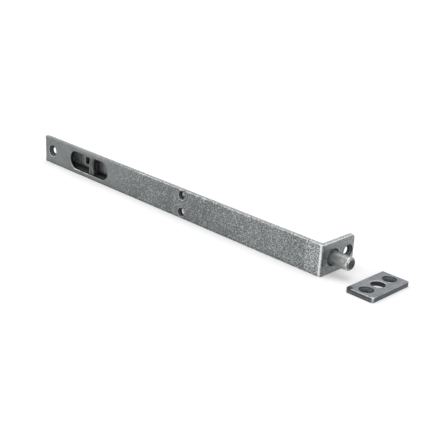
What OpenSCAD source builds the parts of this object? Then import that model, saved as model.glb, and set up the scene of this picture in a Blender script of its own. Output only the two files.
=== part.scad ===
// Slide-action flush bolt for a door, with its loose keep plate.
// The origin is where the bolt's axis leaves the flange's outer face. +X runs along the
// bolt towards its nose, +Y from the plate's face into the door, and +Z up. The bolt lies
// on its long edge, as it does on a bench, with the nose part of the way out.

/* [Face plate] */
// Length of the plate, up to the flange's outer face
plate_length = 254; // [240:1:400]
// Width of the plate and of the flange
plate_width = 19; // [17:0.1:24]
// Thickness of the bar that the plate is bent from
plate_thickness = 2.5; // [2.2:0.1:3]
// How far the flange reaches back from the plate's face
flange_length = 28.5; // [26:0.5:40]
// Radius outside the bend
bend_outer_r = 2; // [1.2:0.1:3]
// Radius inside the bend
bend_inner_r = 1.5; // [0.5:0.1:3]
// Rounding of the long front edges
edge_round = 0.7; // [0.2:0.1:1]
// Rounding of the plate's free end, from its face to its end
end_round = 1.6; // [0.6:0.1:2]
// Radius of the plate's two end corners
end_corner_r = 1.5; // [0.5:0.1:4]
// Radius of the flange's two far corners
flange_corner_r = 2.2; // [0.5:0.1:4]

/* [Slot] */
// Distance from the plate's free end to the middle of the slot
slot_from_end = 50; // [48:0.5:60]
// Length of the slot
slot_length = 41; // [37:0.5:45]
// Height of the slot
slot_height = 12.5; // [11.8:0.1:14]
// Chamfer round the rim of the slot
slot_chamfer = 0.3; // [0.1:0.1:0.6]

/* [Screw holes] */
// Through diameter of the end hole, the flange hole and the keep's two holes
screw_hole_d = 4.2; // [3.8:0.1:4.8]
// Countersink diameter of those holes
screw_csk_d = 8.6; // [7:0.1:9]
// Distance from the plate's free end to the end hole
end_hole_inset = 8.8; // [6:0.1:12]
// Distance from the flange's far edge to the flange hole
flange_hole_inset = 4.9; // [4.6:0.1:6]
// Distance from the flange's outer face to the middle pair of holes
pair_from_flange = 111; // [80:1:130]
// Distance from the plate's long edge to each hole of the middle pair
pair_edge = 3.95; // [3.4:0.05:4.2]
// Through diameter of the middle pair
pair_hole_d = 3.4; // [2.8:0.1:3.8]
// Countersink diameter of the middle pair
pair_csk_d = 6; // [5:0.1:6.2]

/* [Bolt] */
// Distance from the plate's face to the bolt's axis
axis_depth = 10.3; // [9.4:0.05:11.2]
// Diameter of the nose that enters the keep
nose_d = 8; // [7.4:0.05:8.8]
// How much smaller the nose's radius is turned than the head behind it
nose_step = 0.2; // [0.16:0.02:0.4]
// Radial running clearance of the head in the flange and the guide
running_gap = 0.05; // [0.02:0.01:0.08]
// How far the nose stands out of the flange at rest
nose_out = 12.5; // [8:0.5:14]
// Full travel of the bolt
throw = 20; // [18:0.5:22]
// Chamfer at the tip of the nose
nose_chamfer = 1; // [0.4:0.1:1.5]
// Widening at the mouth of the flange's hole
mouth_lead = 0.45; // [0.1:0.05:0.6]
// Diameter of the rod between the slide strip and the head
rod_d = 6.4; // [5.8:0.05:7]
// How far the rod is let into the head
spigot_length = 14; // [10:0.5:16]
// Diameter of the cross pin that holds rod and head together
cross_pin_d = 2.5; // [2:0.1:3]
// How far each end of the cross pin stands out of the head, to stop the throw
cross_pin_stand = 0.7; // [0.5:0.05:1.4]

/* [Slide] */
// Thickness of the slide strip
strip_thickness = 2; // [1.6:0.05:2.4]
// Width of the slide strip
strip_width = 10.2; // [8:0.1:11]
// Depth of the rod's flat, which the strip lies on
flat_depth = 0.8; // [0.6:0.05:1.2]
// Length of the strip behind the finger bar, towards the free end
strip_tail = 19; // [16:0.5:21]
// Length of the strip that is riveted to the rod
lap_length = 14; // [12:0.5:20]
// Length of the window in the strip's tail
window_length = 7.2; // [3:0.1:8]
// Height of the window in the strip's tail
window_height = 5.2; // [3:0.1:6]
// Distance from the finger bar's middle to the window's near end
window_offset = 6; // [4:0.1:7]
// Diameter of the two strip rivets
rivet_d = 2.5; // [2:0.1:3]
// Width of the finger bar along the slot
bar_width = 4.6; // [3.8:0.1:5.2]
// Gap between each end of the finger bar and the slot
bar_gap = 0.3; // [0.2:0.05:1]
// How far the finger bar's front lies below the plate's face
bar_recess = 0.5; // [0.2:0.1:2]
// Rounding of the finger bar's front edges
bar_round = 0.3; // [0.2:0.1:1]

/* [Pan] */
// Sheet thickness of the pan behind the slot
pan_wall = 0.8; // [0.6:0.05:1]
// How far the pan's side walls stand inside the slot's long edges
pan_inset = 0.1; // [0:0.05:0.2]
// Room for the leaf spring between the strip's back and the pan's floor
spring_room = 1.3; // [1.1:0.05:1.6]
// Radius inside the pan's drawn corners
pan_corner_r = 2.7; // [1.5:0.1:3]
// Distance from the plate's long edge to the pan's brim
brim_inset = 1; // [0.8:0.05:1.2]
// Length of the brim past the pan's end walls
brim_end = 2; // [1:0.1:3]
// Leg of the small weld beads
weld_leg = 0.6; // [0.3:0.1:0.7]
// Thickness of the leaf spring
leaf_thickness = 0.4; // [0.3:0.05:0.5]
// Length of the leaf spring's arch
leaf_chord = 8.4; // [6:0.1:10]
// Length of the leaf spring's flat tab
leaf_tab = 4.6; // [4:0.1:6]

/* [Guide] */
// Distance from the flange's outer face to the guide
guide_from_flange = 24; // [18:0.5:30]
// Length of the guide along the bolt
guide_length = 12; // [8:0.5:16]
// Sheet thickness of the guide
guide_wall = 0.7; // [0.6:0.05:1.2]
// Distance from the plate's long edge to the guide's feet
guide_inset = 1.25; // [1:0.05:1.6]

/* [Keep plate] */
// Length of the keep plate
keep_length = 33; // [31:0.5:40]
// Width of the keep plate
keep_width = 17.5; // [14:0.5:20]
// Thickness of the keep plate
keep_thickness = 3; // [2.5:0.1:3.5]
// Radius of the keep plate's corners
keep_corner_r = 1; // [0.3:0.1:2]
// Rounding of the keep plate's upper edges
keep_round = 0.4; // [0.1:0.1:0.8]
// Radial clearance of the nose in the keep's middle hole
keep_clearance = 0.2; // [0.1:0.05:0.4]
// Distance from the keep plate's end to its screw hole
keep_hole_inset = 6; // [5:0.1:6.5]
// Distance between the nose's tip and the keep plate that lies beside it
keep_gap = 7.25; // [5:0.25:60]
// How far the keep plate's middle lies behind the bolt's axis
keep_y = 3.1; // [0:0.1:6]

/* [Hidden] */
$fn = 72;

PEWTER = "#7f8486";
DARK = "#4a4e50";
STEEL = "#96999a";

cut = 0.01;          // overrun of a cut past the face that it opens
stop_gap = 0.3;      // air left at each end of the travel
slide_gap = 0.2;     // air between the slide strip and the mouth that it passes through
leaf_gap = 0.1;      // air between the leaf's arch and the strip's back
sharp = 0.01;        // radius of a corner that is left sharp
broken = 0.2;        // radius of a sheared edge with its burr taken off
tenon_share = 0.57;  // width of the finger bar's tenon as a share of the bar's width
flat_past_lap = 1;   // how far the rod's flat runs on past the strip's end
guide_bead = 0.6;    // length of the guide's weld beads as a share of the guide's length

half_width = plate_width / 2;
head_d = nose_d + 2 * nose_step;
bolt_hole_r = head_d / 2 + running_gap;

// Planes square to Y, from the plate's face backwards.
face_y = -axis_depth;
back_y = face_y + plate_thickness;
strip_back_y = flat_depth - rod_d / 2;
strip_y = strip_back_y - strip_thickness;
pan_floor_y = strip_back_y + spring_room;

// The slide strip and the finger bar on it. The bar is in mid slot at half throw.
slot_x = slot_from_end - plate_length;
bar_x = slot_x + nose_out - throw / 2;
bar_height = slot_height - 2 * bar_gap;
tenon_width = bar_width * tenon_share;
tenon_height = bar_height / 2;
strip_left = bar_x - strip_tail;

// The pan, centred on the slot. Its end stops the strip's tail when the bolt is drawn back,
// where the corner radius already reaches in by corner_reach at the strip's back.
pan_height = slot_height - 2 * pan_inset;
corner_dip = max(0, pan_corner_r - spring_room);
corner_reach = pan_corner_r - sqrt(pan_corner_r * pan_corner_r - corner_dip * corner_dip);
pan_left = strip_left - nose_out - stop_gap - corner_reach;
pan_right = 2 * slot_x - pan_left;
pan_outer_left = pan_left - pan_wall;
pan_outer_right = pan_right + pan_wall;
brim_height = plate_width - 2 * brim_inset;
brim_left = pan_outer_left - brim_end;
brim_right = pan_outer_right + brim_end;

// The leaf spring on the pan's floor, with its tab towards the flange.
leaf_end = pan_right - pan_corner_r - broken;
leaf_rivet_x = leaf_end - leaf_tab / 2;
leaf_rivet_d = 2;
leaf_width = pan_height - 2 * (pan_corner_r + broken);
leaf_rise = spring_room - leaf_gap;
leaf_r = leaf_chord * leaf_chord / (8 * leaf_rise) + leaf_rise / 2;

// The rod, the head and the guide.
rod_left = pan_outer_right + nose_out + stop_gap;
strip_right = rod_left + lap_length;
rivet_places = [rod_left + lap_length / 4, strip_right - lap_length / 4];
guide_rear = -guide_from_flange - guide_length;
guide_outer_r = bolt_hole_r + guide_wall;
guide_foot_z = half_width - guide_inset;
cross_pin_x = guide_rear - (throw - nose_out) - stop_gap - cross_pin_d / 2;
head_rear = cross_pin_x - spigot_length / 2;
rod_right = head_rear + spigot_length;

// Each rivet head is [diameter, rise]: at the front and at the back.
strip_rivet_heads = [[4.2, 0.9], [3.6, 0.7]];
rod_seat_y = sqrt(rod_d * rod_d - strip_rivet_heads[1][0] * strip_rivet_heads[1][0]) / 2;
leaf_rivet_heads = [[3.4, 0.4], [3.8, 0.6]];

keep_x = nose_out + keep_gap + keep_width / 2;

// What takes a square corner at the origin to the radius r, for a piece in the first quadrant.
module corner_cut(r) {
    difference() {
        translate([-cut, -cut]) square(r + cut);
        translate([r, r]) circle(r);
    }
}

// A rectangle with its lowest corner at the origin, and a radius at each corner:
// low left, low right, high right, high left.
module round_rect(size, radii) {
    difference() {
        square(size);
        corner_cut(radii[0]);
        translate([size[0], 0]) rotate(90) corner_cut(radii[1]);
        translate(size) rotate(180) corner_cut(radii[2]);
        translate([0, size[1]]) rotate(270) corner_cut(radii[3]);
    }
}

// A hole along +Y through a plate whose face is y = 0, countersunk or chamfered to rim_d.
module face_hole(hole_d, rim_d, depth) {
    rotate([-90, 0, 0]) {
        translate([0, 0, -cut]) cylinder(d = hole_d, h = depth + 2 * cut);
        translate([0, 0, -cut]) cylinder(d1 = rim_d + 2 * cut, d2 = hole_d, h = (rim_d - hole_d) / 2 + cut);
    }
}

// An obround hole along +Y with a chamfered rim at y = 0, centred on the Y axis.
module slot_hole(length, height, depth, chamfer) {
    run = length - height;
    for (side = [-1, 1])
        translate([side * run / 2, 0, 0]) face_hole(height, height + 2 * chamfer, depth);
    translate([-run / 2, -cut, -height / 2]) cube([run, depth + 2 * cut, height]);
    translate([-run / 2, 0, 0]) rotate([90, 0, 90])
        linear_extrude(run) polygon([
            [-cut, -height / 2 - chamfer - cut],
            [-cut, height / 2 + chamfer + cut],
            [chamfer, height / 2],
            [chamfer, -height / 2],
        ]);
}

// The plate seen from above: a straight bar with the flange turned back at its end.
module plate_outline() {
    inner = plate_thickness + bend_inner_r;
    difference() {
        union() {
            translate([-plate_length, 0])
                round_rect([plate_length, plate_thickness], [end_round, bend_outer_r, sharp, broken]);
            translate([-plate_thickness, 0])
                round_rect([plate_thickness, flange_length], [sharp, bend_outer_r, edge_round, broken]);
            translate([-inner, plate_thickness]) square(bend_inner_r + cut);
        }
        translate([-inner, inner]) circle(bend_inner_r);
    }
}

// What rounds the upper front edge off, along the plate, round the bend and along the flange.
module long_edge_cut() {
    translate([-plate_length - cut, 0, half_width]) rotate([0, 90, 0])
        linear_extrude(plate_length - bend_outer_r + cut) corner_cut(edge_round);
    translate([-bend_outer_r, bend_outer_r, 0]) rotate([0, 0, -90]) rotate_extrude(angle = 90)
        translate([bend_outer_r, half_width]) rotate(180) corner_cut(edge_round);
    translate([0, bend_outer_r, half_width]) rotate([-90, 0, 0]) rotate(90)
        linear_extrude(flange_length - bend_outer_r + cut) corner_cut(edge_round);
}

// What rounds the lower corner of the plate's free end, seen from the front.
module end_corner_cut() {
    translate([-plate_length, -cut, -half_width]) rotate([-90, 0, 0]) mirror([0, 1])
        linear_extrude(plate_thickness + 2 * cut) corner_cut(end_corner_r);
}

// What rounds the lower far corner of the flange, seen along the bolt.
module flange_corner_cut() {
    translate([-plate_thickness - cut, flange_length, -half_width]) rotate([90, 0, 90]) rotate(90)
        linear_extrude(plate_thickness + 2 * cut) corner_cut(flange_corner_r);
}

// The bar bent to an L, with its slot, its screw holes and the hole that the bolt runs in.
module face_plate() {
    color(PEWTER) translate([0, face_y, 0]) difference() {
        translate([0, 0, -half_width]) linear_extrude(plate_width) plate_outline();
        for (side = [0, 1]) mirror([0, 0, side]) {
            long_edge_cut();
            end_corner_cut();
            flange_corner_cut();
            translate([-pair_from_flange, 0, half_width - pair_edge])
                face_hole(pair_hole_d, pair_csk_d, plate_thickness);
        }
        translate([slot_x, 0, 0]) slot_hole(slot_length, slot_height, plate_thickness, slot_chamfer);
        translate([end_hole_inset - plate_length, 0, 0])
            face_hole(screw_hole_d, screw_csk_d, plate_thickness);
        translate([0, flange_length - flange_hole_inset, 0]) rotate([0, 0, 90])
            face_hole(screw_hole_d, screw_csk_d, plate_thickness);
        translate([0, axis_depth, 0]) rotate([0, 0, 90])
            face_hole(2 * bolt_hole_r, 2 * (bolt_hole_r + mouth_lead), plate_thickness);
    }
}

// A drawn cup from x0 to x1 and y0 to y1, closed towards +Y. Its floor edges and its upright
// corners have the radius r, and each corner's sphere has its poles along the draw.
module cup(x0, x1, height, y0, y1, r) {
    length = x1 - x0;
    deep = y1 - y0;
    translate([x0, y0, -height / 2]) {
        translate([r, 0, r]) cube([length - 2 * r, deep, height - 2 * r]);
        translate([0, 0, r]) cube([length, deep - r, height - 2 * r]);
        translate([r, 0, 0]) cube([length - 2 * r, deep - r, height]);
        for (x = [r, length - r]) {
            translate([x, deep - r, r]) cylinder(r = r, h = height - 2 * r);
            for (z = [r, height - r]) {
                translate([x, 0, z]) rotate([-90, 0, 0]) cylinder(r = r, h = deep - r);
                translate([x, deep - r, z]) rotate([-90, 0, 0]) sphere(r);
            }
        }
        for (z = [r, height - r])
            translate([r, deep - r, z]) rotate([0, 90, 0]) cylinder(r = r, h = length - 2 * r);
    }
}

// The pressed pan that closes the slot from behind: a cup with a brim, the mouth that the
// slide strip leaves by, and the hole of the leaf spring's rivet.
module slot_pan() {
    mouth_height = strip_width + 2 * slide_gap;
    brim_corners = [brim_end, brim_end, brim_end, brim_end];
    color(DARK) difference() {
        union() {
            cup(pan_outer_left, pan_outer_right, pan_height + 2 * pan_wall, back_y,
                pan_floor_y + pan_wall, pan_corner_r + pan_wall);
            translate([brim_left, back_y + pan_wall, -brim_height / 2]) rotate([90, 0, 0])
                linear_extrude(pan_wall)
                    round_rect([brim_right - brim_left, brim_height], brim_corners);
        }
        cup(pan_left, pan_right, pan_height, back_y - cut, pan_floor_y, pan_corner_r);
        translate([pan_right - pan_corner_r, strip_y - slide_gap, -mouth_height / 2])
            cube([pan_corner_r + pan_wall + cut, strip_thickness + 2 * slide_gap, mouth_height]);
        translate([leaf_rivet_x, pan_floor_y - cut, 0]) rotate([-90, 0, 0])
            cylinder(d = leaf_rivet_d, h = pan_wall + 2 * cut);
    }
}

// A quarter-round weld bead of the given length along X, in the corner between the plate's
// back and an edge that faces +Z.
module bead(length) {
    translate([-length / 2, 0, 0]) rotate([90, 0, 90])
        linear_extrude(length) intersection() {
            square(weld_leg);
            circle(weld_leg);
        }
}

// The beads that hold the pan's brim to the plate: two on each long side and one at each end.
module pan_welds() {
    long_bead = 9;
    end_bead = 6;
    bead_share = 0.28;
    brim_length = brim_right - brim_left;
    color(DARK) translate([slot_x, back_y, 0]) {
        for (side = [0, 1], x = [-bead_share, bead_share] * brim_length)
            mirror([0, 0, side]) translate([x, 0, brim_height / 2]) bead(long_bead);
        for (angle = [90, -90])
            rotate([0, angle, 0]) translate([0, 0, brim_length / 2]) bead(end_bead);
    }
}

// The leaf spring, whose arch presses on the back of the slide strip.
module leaf_spring() {
    tab_x = leaf_end - leaf_tab;
    arch_x = tab_x - leaf_chord / 2;
    color(STEEL) difference() {
        translate([0, 0, -leaf_width / 2]) linear_extrude(leaf_width) {
            translate([tab_x - leaf_thickness, pan_floor_y - leaf_thickness])
                square([leaf_tab + leaf_thickness, leaf_thickness]);
            intersection() {
                translate([arch_x, strip_back_y + leaf_gap + leaf_r]) difference() {
                    circle(leaf_r);
                    circle(leaf_r - leaf_thickness);
                }
                translate([arch_x - leaf_chord / 2, strip_back_y]) square([leaf_chord, spring_room]);
            }
        }
        translate([leaf_rivet_x, pan_floor_y, 0]) rotate([90, 0, 0])
            cylinder(d = leaf_rivet_d, h = 3 * leaf_thickness, center = true);
    }
}

// A low dome on the XY plane: the cap of a sphere, for a head of [diameter, rise].
module dome(head) {
    r = head[0] * head[0] / (8 * head[1]) + head[1] / 2;
    intersection() {
        translate([0, 0, head[1] - r]) sphere(r);
        cylinder(d = head[0] + 1, h = head[1] + 1);
    }
}

// A rivet along +Y whose shank runs from y0 to y1, with a domed head at each end.
module rivet(shank_d, y0, y1, heads) {
    translate([0, y0, 0]) rotate([-90, 0, 0]) cylinder(d = shank_d, h = y1 - y0);
    translate([0, y0, 0]) rotate([90, 0, 0]) dome(heads[0]);
    translate([0, y1, 0]) rotate([-90, 0, 0]) dome(heads[1]);
}

// The rivet that holds the leaf spring to the pan's floor.
module leaf_rivet() {
    color(STEEL) translate([leaf_rivet_x, 0, 0])
        rivet(leaf_rivet_d, pan_floor_y - leaf_thickness, pan_floor_y + pan_wall, leaf_rivet_heads);
}

// The bent strap that the bolt head runs in, on two feet against the plate's back.
module rod_guide() {
    foot_r = guide_wall / 2;
    color(DARK) translate([guide_rear, 0, 0]) rotate([90, 0, 90]) linear_extrude(guide_length)
        difference() {
            union() {
                circle(guide_outer_r);
                translate([back_y, -guide_outer_r]) square([-back_y, 2 * guide_outer_r]);
                translate([back_y, -guide_foot_z])
                    round_rect([guide_wall, 2 * guide_foot_z], [sharp, foot_r, foot_r, sharp]);
            }
            circle(bolt_hole_r);
            translate([back_y - cut, -bolt_hole_r]) square([cut - back_y, 2 * bolt_hole_r]);
        }
}

// The beads that hold the guide's feet to the plate.
module guide_welds() {
    color(DARK) translate([guide_rear + guide_length / 2, back_y, 0])
        for (side = [0, 1]) mirror([0, 0, side])
            translate([0, 0, guide_foot_z]) bead(guide_length * guide_bead);
}

// The flat strip behind the slot, with a window in its tail, the hole of the finger bar's
// tenon and the holes of its rivets.
module slide_strip() {
    tail_r = 2;
    lap_r = 1;
    color(DARK) difference() {
        translate([strip_left, strip_back_y, -strip_width / 2]) rotate([90, 0, 0])
            linear_extrude(strip_thickness)
                round_rect([strip_right - strip_left, strip_width], [tail_r, lap_r, lap_r, tail_r]);
        translate([bar_x - window_offset - window_length, strip_y - cut, -window_height / 2])
            cube([window_length, strip_thickness + 2 * cut, window_height]);
        translate([bar_x - tenon_width / 2, strip_y - cut, -tenon_height / 2])
            cube([tenon_width, strip_thickness + 2 * cut, tenon_height]);
        for (x = rivet_places) translate([x, strip_y - cut, 0]) rotate([-90, 0, 0])
            cylinder(d = rivet_d, h = strip_thickness + 2 * cut);
    }
}

// The cross bar that a fingertip pushes, with its tenon peened over behind the strip.
module finger_bar() {
    front_y = face_y + bar_recess;
    depth = strip_y - front_y;
    peen = 0.6;
    spread = 0.4;
    color(DARK) {
        intersection() {
            translate([bar_x - bar_width / 2, front_y, -bar_height / 2]) linear_extrude(bar_height)
                round_rect([bar_width, depth], [bar_round, bar_round, sharp, sharp]);
            translate([bar_x - bar_width, front_y, -bar_height / 2]) rotate([90, 0, 90])
                linear_extrude(2 * bar_width)
                    round_rect([depth, bar_height], [2 * bar_round, sharp, sharp, 2 * bar_round]);
        }
        translate([bar_x - tenon_width / 2, strip_y - cut, -tenon_height / 2])
            cube([tenon_width, strip_thickness + peen + cut, tenon_height]);
        translate([bar_x - tenon_width / 2 - spread, strip_back_y, -tenon_height / 2 - spread])
            cube([tenon_width + 2 * spread, peen, tenon_height + 2 * spread]);
    }
}

// The round rod from the slide strip to the head, with a flat that the strip lies on and a
// seat behind for the head of each rivet.
module drive_rod() {
    color(STEEL) difference() {
        translate([rod_left, 0, 0]) rotate([0, 90, 0]) cylinder(d = rod_d, h = rod_right - rod_left);
        translate([rod_left - cut, -rod_d, -rod_d])
            cube([lap_length + flat_past_lap + cut, rod_d + strip_back_y, 2 * rod_d]);
        for (x = rivet_places) {
            translate([x, -rod_d, 0]) rotate([-90, 0, 0]) cylinder(d = rivet_d, h = 2 * rod_d);
            translate([x, rod_seat_y, 0]) rotate([-90, 0, 0])
                cylinder(d = strip_rivet_heads[1][0] + 2 * cut, h = rod_d);
        }
        translate([cross_pin_x, 0, -rod_d]) cylinder(d = cross_pin_d, h = 2 * rod_d);
    }
}

// The two rivets that hold the slide strip to the rod's flat.
module strip_rivets() {
    color(STEEL) for (x = rivet_places) translate([x, 0, 0])
        rivet(rivet_d, strip_y, rod_seat_y, strip_rivet_heads);
}

// The round head that the flange and the guide carry, with the nose that enters the keep.
module bolt_head() {
    nose_run = nose_out - nose_chamfer;
    color(STEEL) difference() {
        union() {
            translate([head_rear, 0, 0]) rotate([0, 90, 0]) cylinder(d = head_d, h = -head_rear);
            rotate([0, 90, 0]) cylinder(d = nose_d, h = nose_run);
            translate([nose_run, 0, 0]) rotate([0, 90, 0])
                cylinder(d1 = nose_d, d2 = nose_d - 2 * nose_chamfer, h = nose_chamfer);
        }
        translate([head_rear - cut, 0, 0]) rotate([0, 90, 0]) cylinder(d = rod_d, h = spigot_length + cut);
        translate([cross_pin_x, 0, -head_d]) cylinder(d = cross_pin_d, h = 2 * head_d);
    }
}

// The cross pin through head and rod. Its ends meet the guide at full throw.
module cross_pin() {
    color(STEEL) translate([cross_pin_x, 0, 0])
        cylinder(d = cross_pin_d, h = head_d + 2 * cross_pin_stand, center = true);
}

// The loose plate that is let into the frame, with the hole that the nose enters.
module keep_plate() {
    hole_d = nose_d + 2 * keep_clearance;
    rim = 0.2;
    corners = [keep_corner_r, keep_corner_r, keep_corner_r, keep_corner_r];
    color(PEWTER) translate([keep_x, keep_y, keep_thickness - half_width]) difference() {
        translate([-keep_width / 2, -keep_length / 2, -keep_thickness])
            linear_extrude(keep_thickness) round_rect([keep_width, keep_length], corners);
        for (side = [0, 1]) {
            mirror([side, 0, 0]) translate([-keep_width / 2, keep_length / 2, 0])
                rotate([90, 0, 0]) mirror([0, 1]) linear_extrude(keep_length) corner_cut(keep_round);
            mirror([0, side, 0]) {
                translate([-keep_width / 2, -keep_length / 2, 0])
                    rotate([90, 0, 90]) mirror([0, 1]) linear_extrude(keep_width) corner_cut(keep_round);
                translate([0, keep_length / 2 - keep_hole_inset, 0]) rotate([-90, 0, 0])
                    face_hole(screw_hole_d, screw_csk_d, keep_thickness);
            }
        }
        rotate([-90, 0, 0]) face_hole(hole_d, hole_d + 2 * rim, keep_thickness);
    }
}

face_plate();
slot_pan();
pan_welds();
leaf_spring();
leaf_rivet();
rod_guide();
guide_welds();
slide_strip();
finger_bar();
drive_rod();
strip_rivets();
bolt_head();
cross_pin();
keep_plate();
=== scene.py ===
"""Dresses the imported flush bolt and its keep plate, and sets up the floor, light and camera.

Lengths are in millimetres in the row frame, the CAD model's own, and MM turns them into metres.
The bolt lies on its long edge: +X runs towards the nose, +Y into the door and +Z up.
"""

import logging
import math
import random
from dataclasses import dataclass
from enum import Enum
from typing import Any, Callable, Iterator, Sequence

import bmesh
import bpy
from mathutils import Matrix, Vector, noise
from mathutils.geometry import delaunay_2d_cdt


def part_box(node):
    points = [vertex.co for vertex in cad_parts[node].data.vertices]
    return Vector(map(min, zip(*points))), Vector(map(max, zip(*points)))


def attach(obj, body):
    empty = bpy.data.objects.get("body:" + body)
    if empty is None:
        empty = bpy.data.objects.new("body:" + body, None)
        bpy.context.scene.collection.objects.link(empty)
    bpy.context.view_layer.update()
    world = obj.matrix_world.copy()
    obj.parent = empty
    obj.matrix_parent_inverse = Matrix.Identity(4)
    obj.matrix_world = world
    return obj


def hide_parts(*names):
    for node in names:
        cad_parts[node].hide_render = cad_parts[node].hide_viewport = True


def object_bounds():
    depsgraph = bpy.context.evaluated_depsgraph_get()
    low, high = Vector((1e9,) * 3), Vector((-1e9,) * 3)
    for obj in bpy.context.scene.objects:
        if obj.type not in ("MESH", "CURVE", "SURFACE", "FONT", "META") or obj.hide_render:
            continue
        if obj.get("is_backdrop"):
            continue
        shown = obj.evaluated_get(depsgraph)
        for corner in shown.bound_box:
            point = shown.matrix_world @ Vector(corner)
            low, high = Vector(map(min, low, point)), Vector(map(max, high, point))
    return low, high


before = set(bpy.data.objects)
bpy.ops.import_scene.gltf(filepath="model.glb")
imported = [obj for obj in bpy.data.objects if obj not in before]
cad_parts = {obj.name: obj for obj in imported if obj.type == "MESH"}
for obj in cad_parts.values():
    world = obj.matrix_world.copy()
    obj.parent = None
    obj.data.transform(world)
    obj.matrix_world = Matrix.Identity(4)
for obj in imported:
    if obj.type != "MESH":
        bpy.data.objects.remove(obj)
CAD_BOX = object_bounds()
log = logging.getLogger("flush_bolt")

MM = 0.001
# The first attribute holds wear with painted highlights, the second the patina of hollows with painted shade
WEAR_AND_HIGHLIGHT = "wear_and_highlight"
PATINA_AND_SHADE = "patina_and_shade"
STRUCK = "struck"
FORGING = "forging"
SHARP_ANGLE = math.radians(34)
FLAT_ANGLE = math.radians(1)
WELD_DISTANCE = 0.002
INSIDE_WITHOUT_HOLES = 2
MESHING_TOLERANCE = 1e-6
ARC_STEP = 0.4
ARC_LEAST_STEPS = 6
ROW_STEP = 0.866
LOOSENESS = 0.14
LOOSE_SEED = 11
FILLET_ROOM = 2.2
FILLET_STEPS = 4
# Painted shade on the lower part of the slide strip in the slot
SHADE_TOP = -1.5
SHADE_BOTTOM = -5.0
SHADE_DEPTH = 0.8
RIM_WEAR = 0.7
NOISE_MIDDLE = 0.5

Point = tuple[float, float, float]
Place = Callable[[float, float, float], Vector]
Spread = Callable[[Vector], float]
Colour = tuple[float, float, float]


class Axis(Enum):
    """An axis of the row frame, as the place of its coordinate in a vector."""

    X = 0
    Y = 1
    Z = 2


def span(node: str, axis: Axis) -> tuple[float, float]:
    """Gives where a CAD node starts and ends along an axis.

    Args:
        node: The CAD node's name.
        axis: The axis to measure along.

    Returns:
        The lowest and the highest coordinate, in millimetres.
    """
    low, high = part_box(node)
    return low[axis.value] / MM, high[axis.value] / MM


def smooth_step(start: float, end: float, value: float) -> float:
    """Gives 0 before start and 1 after end, with a smooth rise between them."""
    share = min(1.0, max(0.0, (value - start) / (end - start)))
    return share * share * (3 - 2 * share)


def smooth_fall(start: float, end: float, value: float) -> float:
    """Gives 1 before start and 0 after end, with a smooth fall between them."""
    return 1 - smooth_step(start, end, value)


# Meshes


class Shell:
    """A mesh in the making, with the wear and painted highlight, and the patina and painted shade, at each of
    its points.
    """

    def __init__(self) -> None:
        """Starts with no points and no faces."""
        self.points: list[Vector] = []
        self.faces: list[tuple[int, ...]] = []
        self.wear: list[float] = []
        self.patina_and_shade: list[float] = []

    def add_point(self, point: Vector, wear: float = 0.0, patina_and_shade: float = 0.0) -> int:
        """Adds a point.

        Args:
            point: Its place in millimetres in the row frame.
            wear: How far the finish is rubbed off there, with any painted highlight, from 0 to 1.
            patina_and_shade: How dark the patina and the painted shade are there, from 0 to 1.

        Returns:
            The point's index.
        """
        self.points.append(point)
        self.wear.append(wear)
        self.patina_and_shade.append(patina_and_shade)
        return len(self.points) - 1

    def to_object(self, name: str) -> bpy.types.Object:
        """Makes the mesh's object, with doubles merged and every face pointing outwards.

        Args:
            name: The object's name.

        Returns:
            The object, at the origin and in the scene.
        """
        mesh = bpy.data.meshes.new(name)
        mesh.from_pydata([point * MM for point in self.points], [], self.faces)
        for key, values in ((WEAR_AND_HIGHLIGHT, self.wear), (PATINA_AND_SHADE, self.patina_and_shade)):
            mesh.attributes.new(key, "FLOAT", "POINT").data.foreach_set("value", values)
        work = bmesh.new()
        work.from_mesh(mesh)
        bmesh.ops.remove_doubles(work, verts=work.verts, dist=WELD_DISTANCE * MM)
        bmesh.ops.recalc_face_normals(work, faces=work.faces)
        work.to_mesh(mesh)
        work.free()
        return linked(name, mesh)


def linked(name: str, mesh: bpy.types.Mesh) -> bpy.types.Object:
    """Makes an object of a mesh, shaded smooth apart from its sharp edges.

    Args:
        name: The object's name.
        mesh: Its mesh.

    Returns:
        The object, at the origin and in the scene.
    """
    mesh.shade_smooth()
    mesh.set_sharp_from_angle(angle=SHARP_ANGLE)
    piece = bpy.data.objects.new(name, mesh)
    bpy.context.scene.collection.objects.link(piece)
    return piece


def mark_by_place(piece: bpy.types.Object, name: str, spread: Spread) -> None:
    """Raises an attribute of a piece's points to what a rule gives at their places.

    Args:
        piece: The piece's object.
        name: The attribute, which is added where the mesh has none.
        spread: The rule, on a spot of the row frame.
    """
    mesh = piece.data
    marks = mesh.attributes.get(name) or mesh.attributes.new(name, "FLOAT", "POINT")
    at_corners = marks.domain == "CORNER"
    owners = [loop.vertex_index for loop in mesh.loops] if at_corners else range(len(mesh.vertices))
    values = [spread(vertex.co / MM) for vertex in mesh.vertices]
    for owner, mark in zip(owners, marks.data):
        mark.value = max(mark.value, values[owner])


def low_painted_shade(spot: Vector) -> float:
    """Gives painted shade that darkens the strip towards the bottom of the slot."""
    return SHADE_DEPTH * smooth_step(SHADE_TOP, SHADE_BOTTOM, spot.z)


def all_round(wear: float) -> Spread:
    """Makes a rule that gives the same wear at every spot of a rim."""
    return lambda spot: wear


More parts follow.
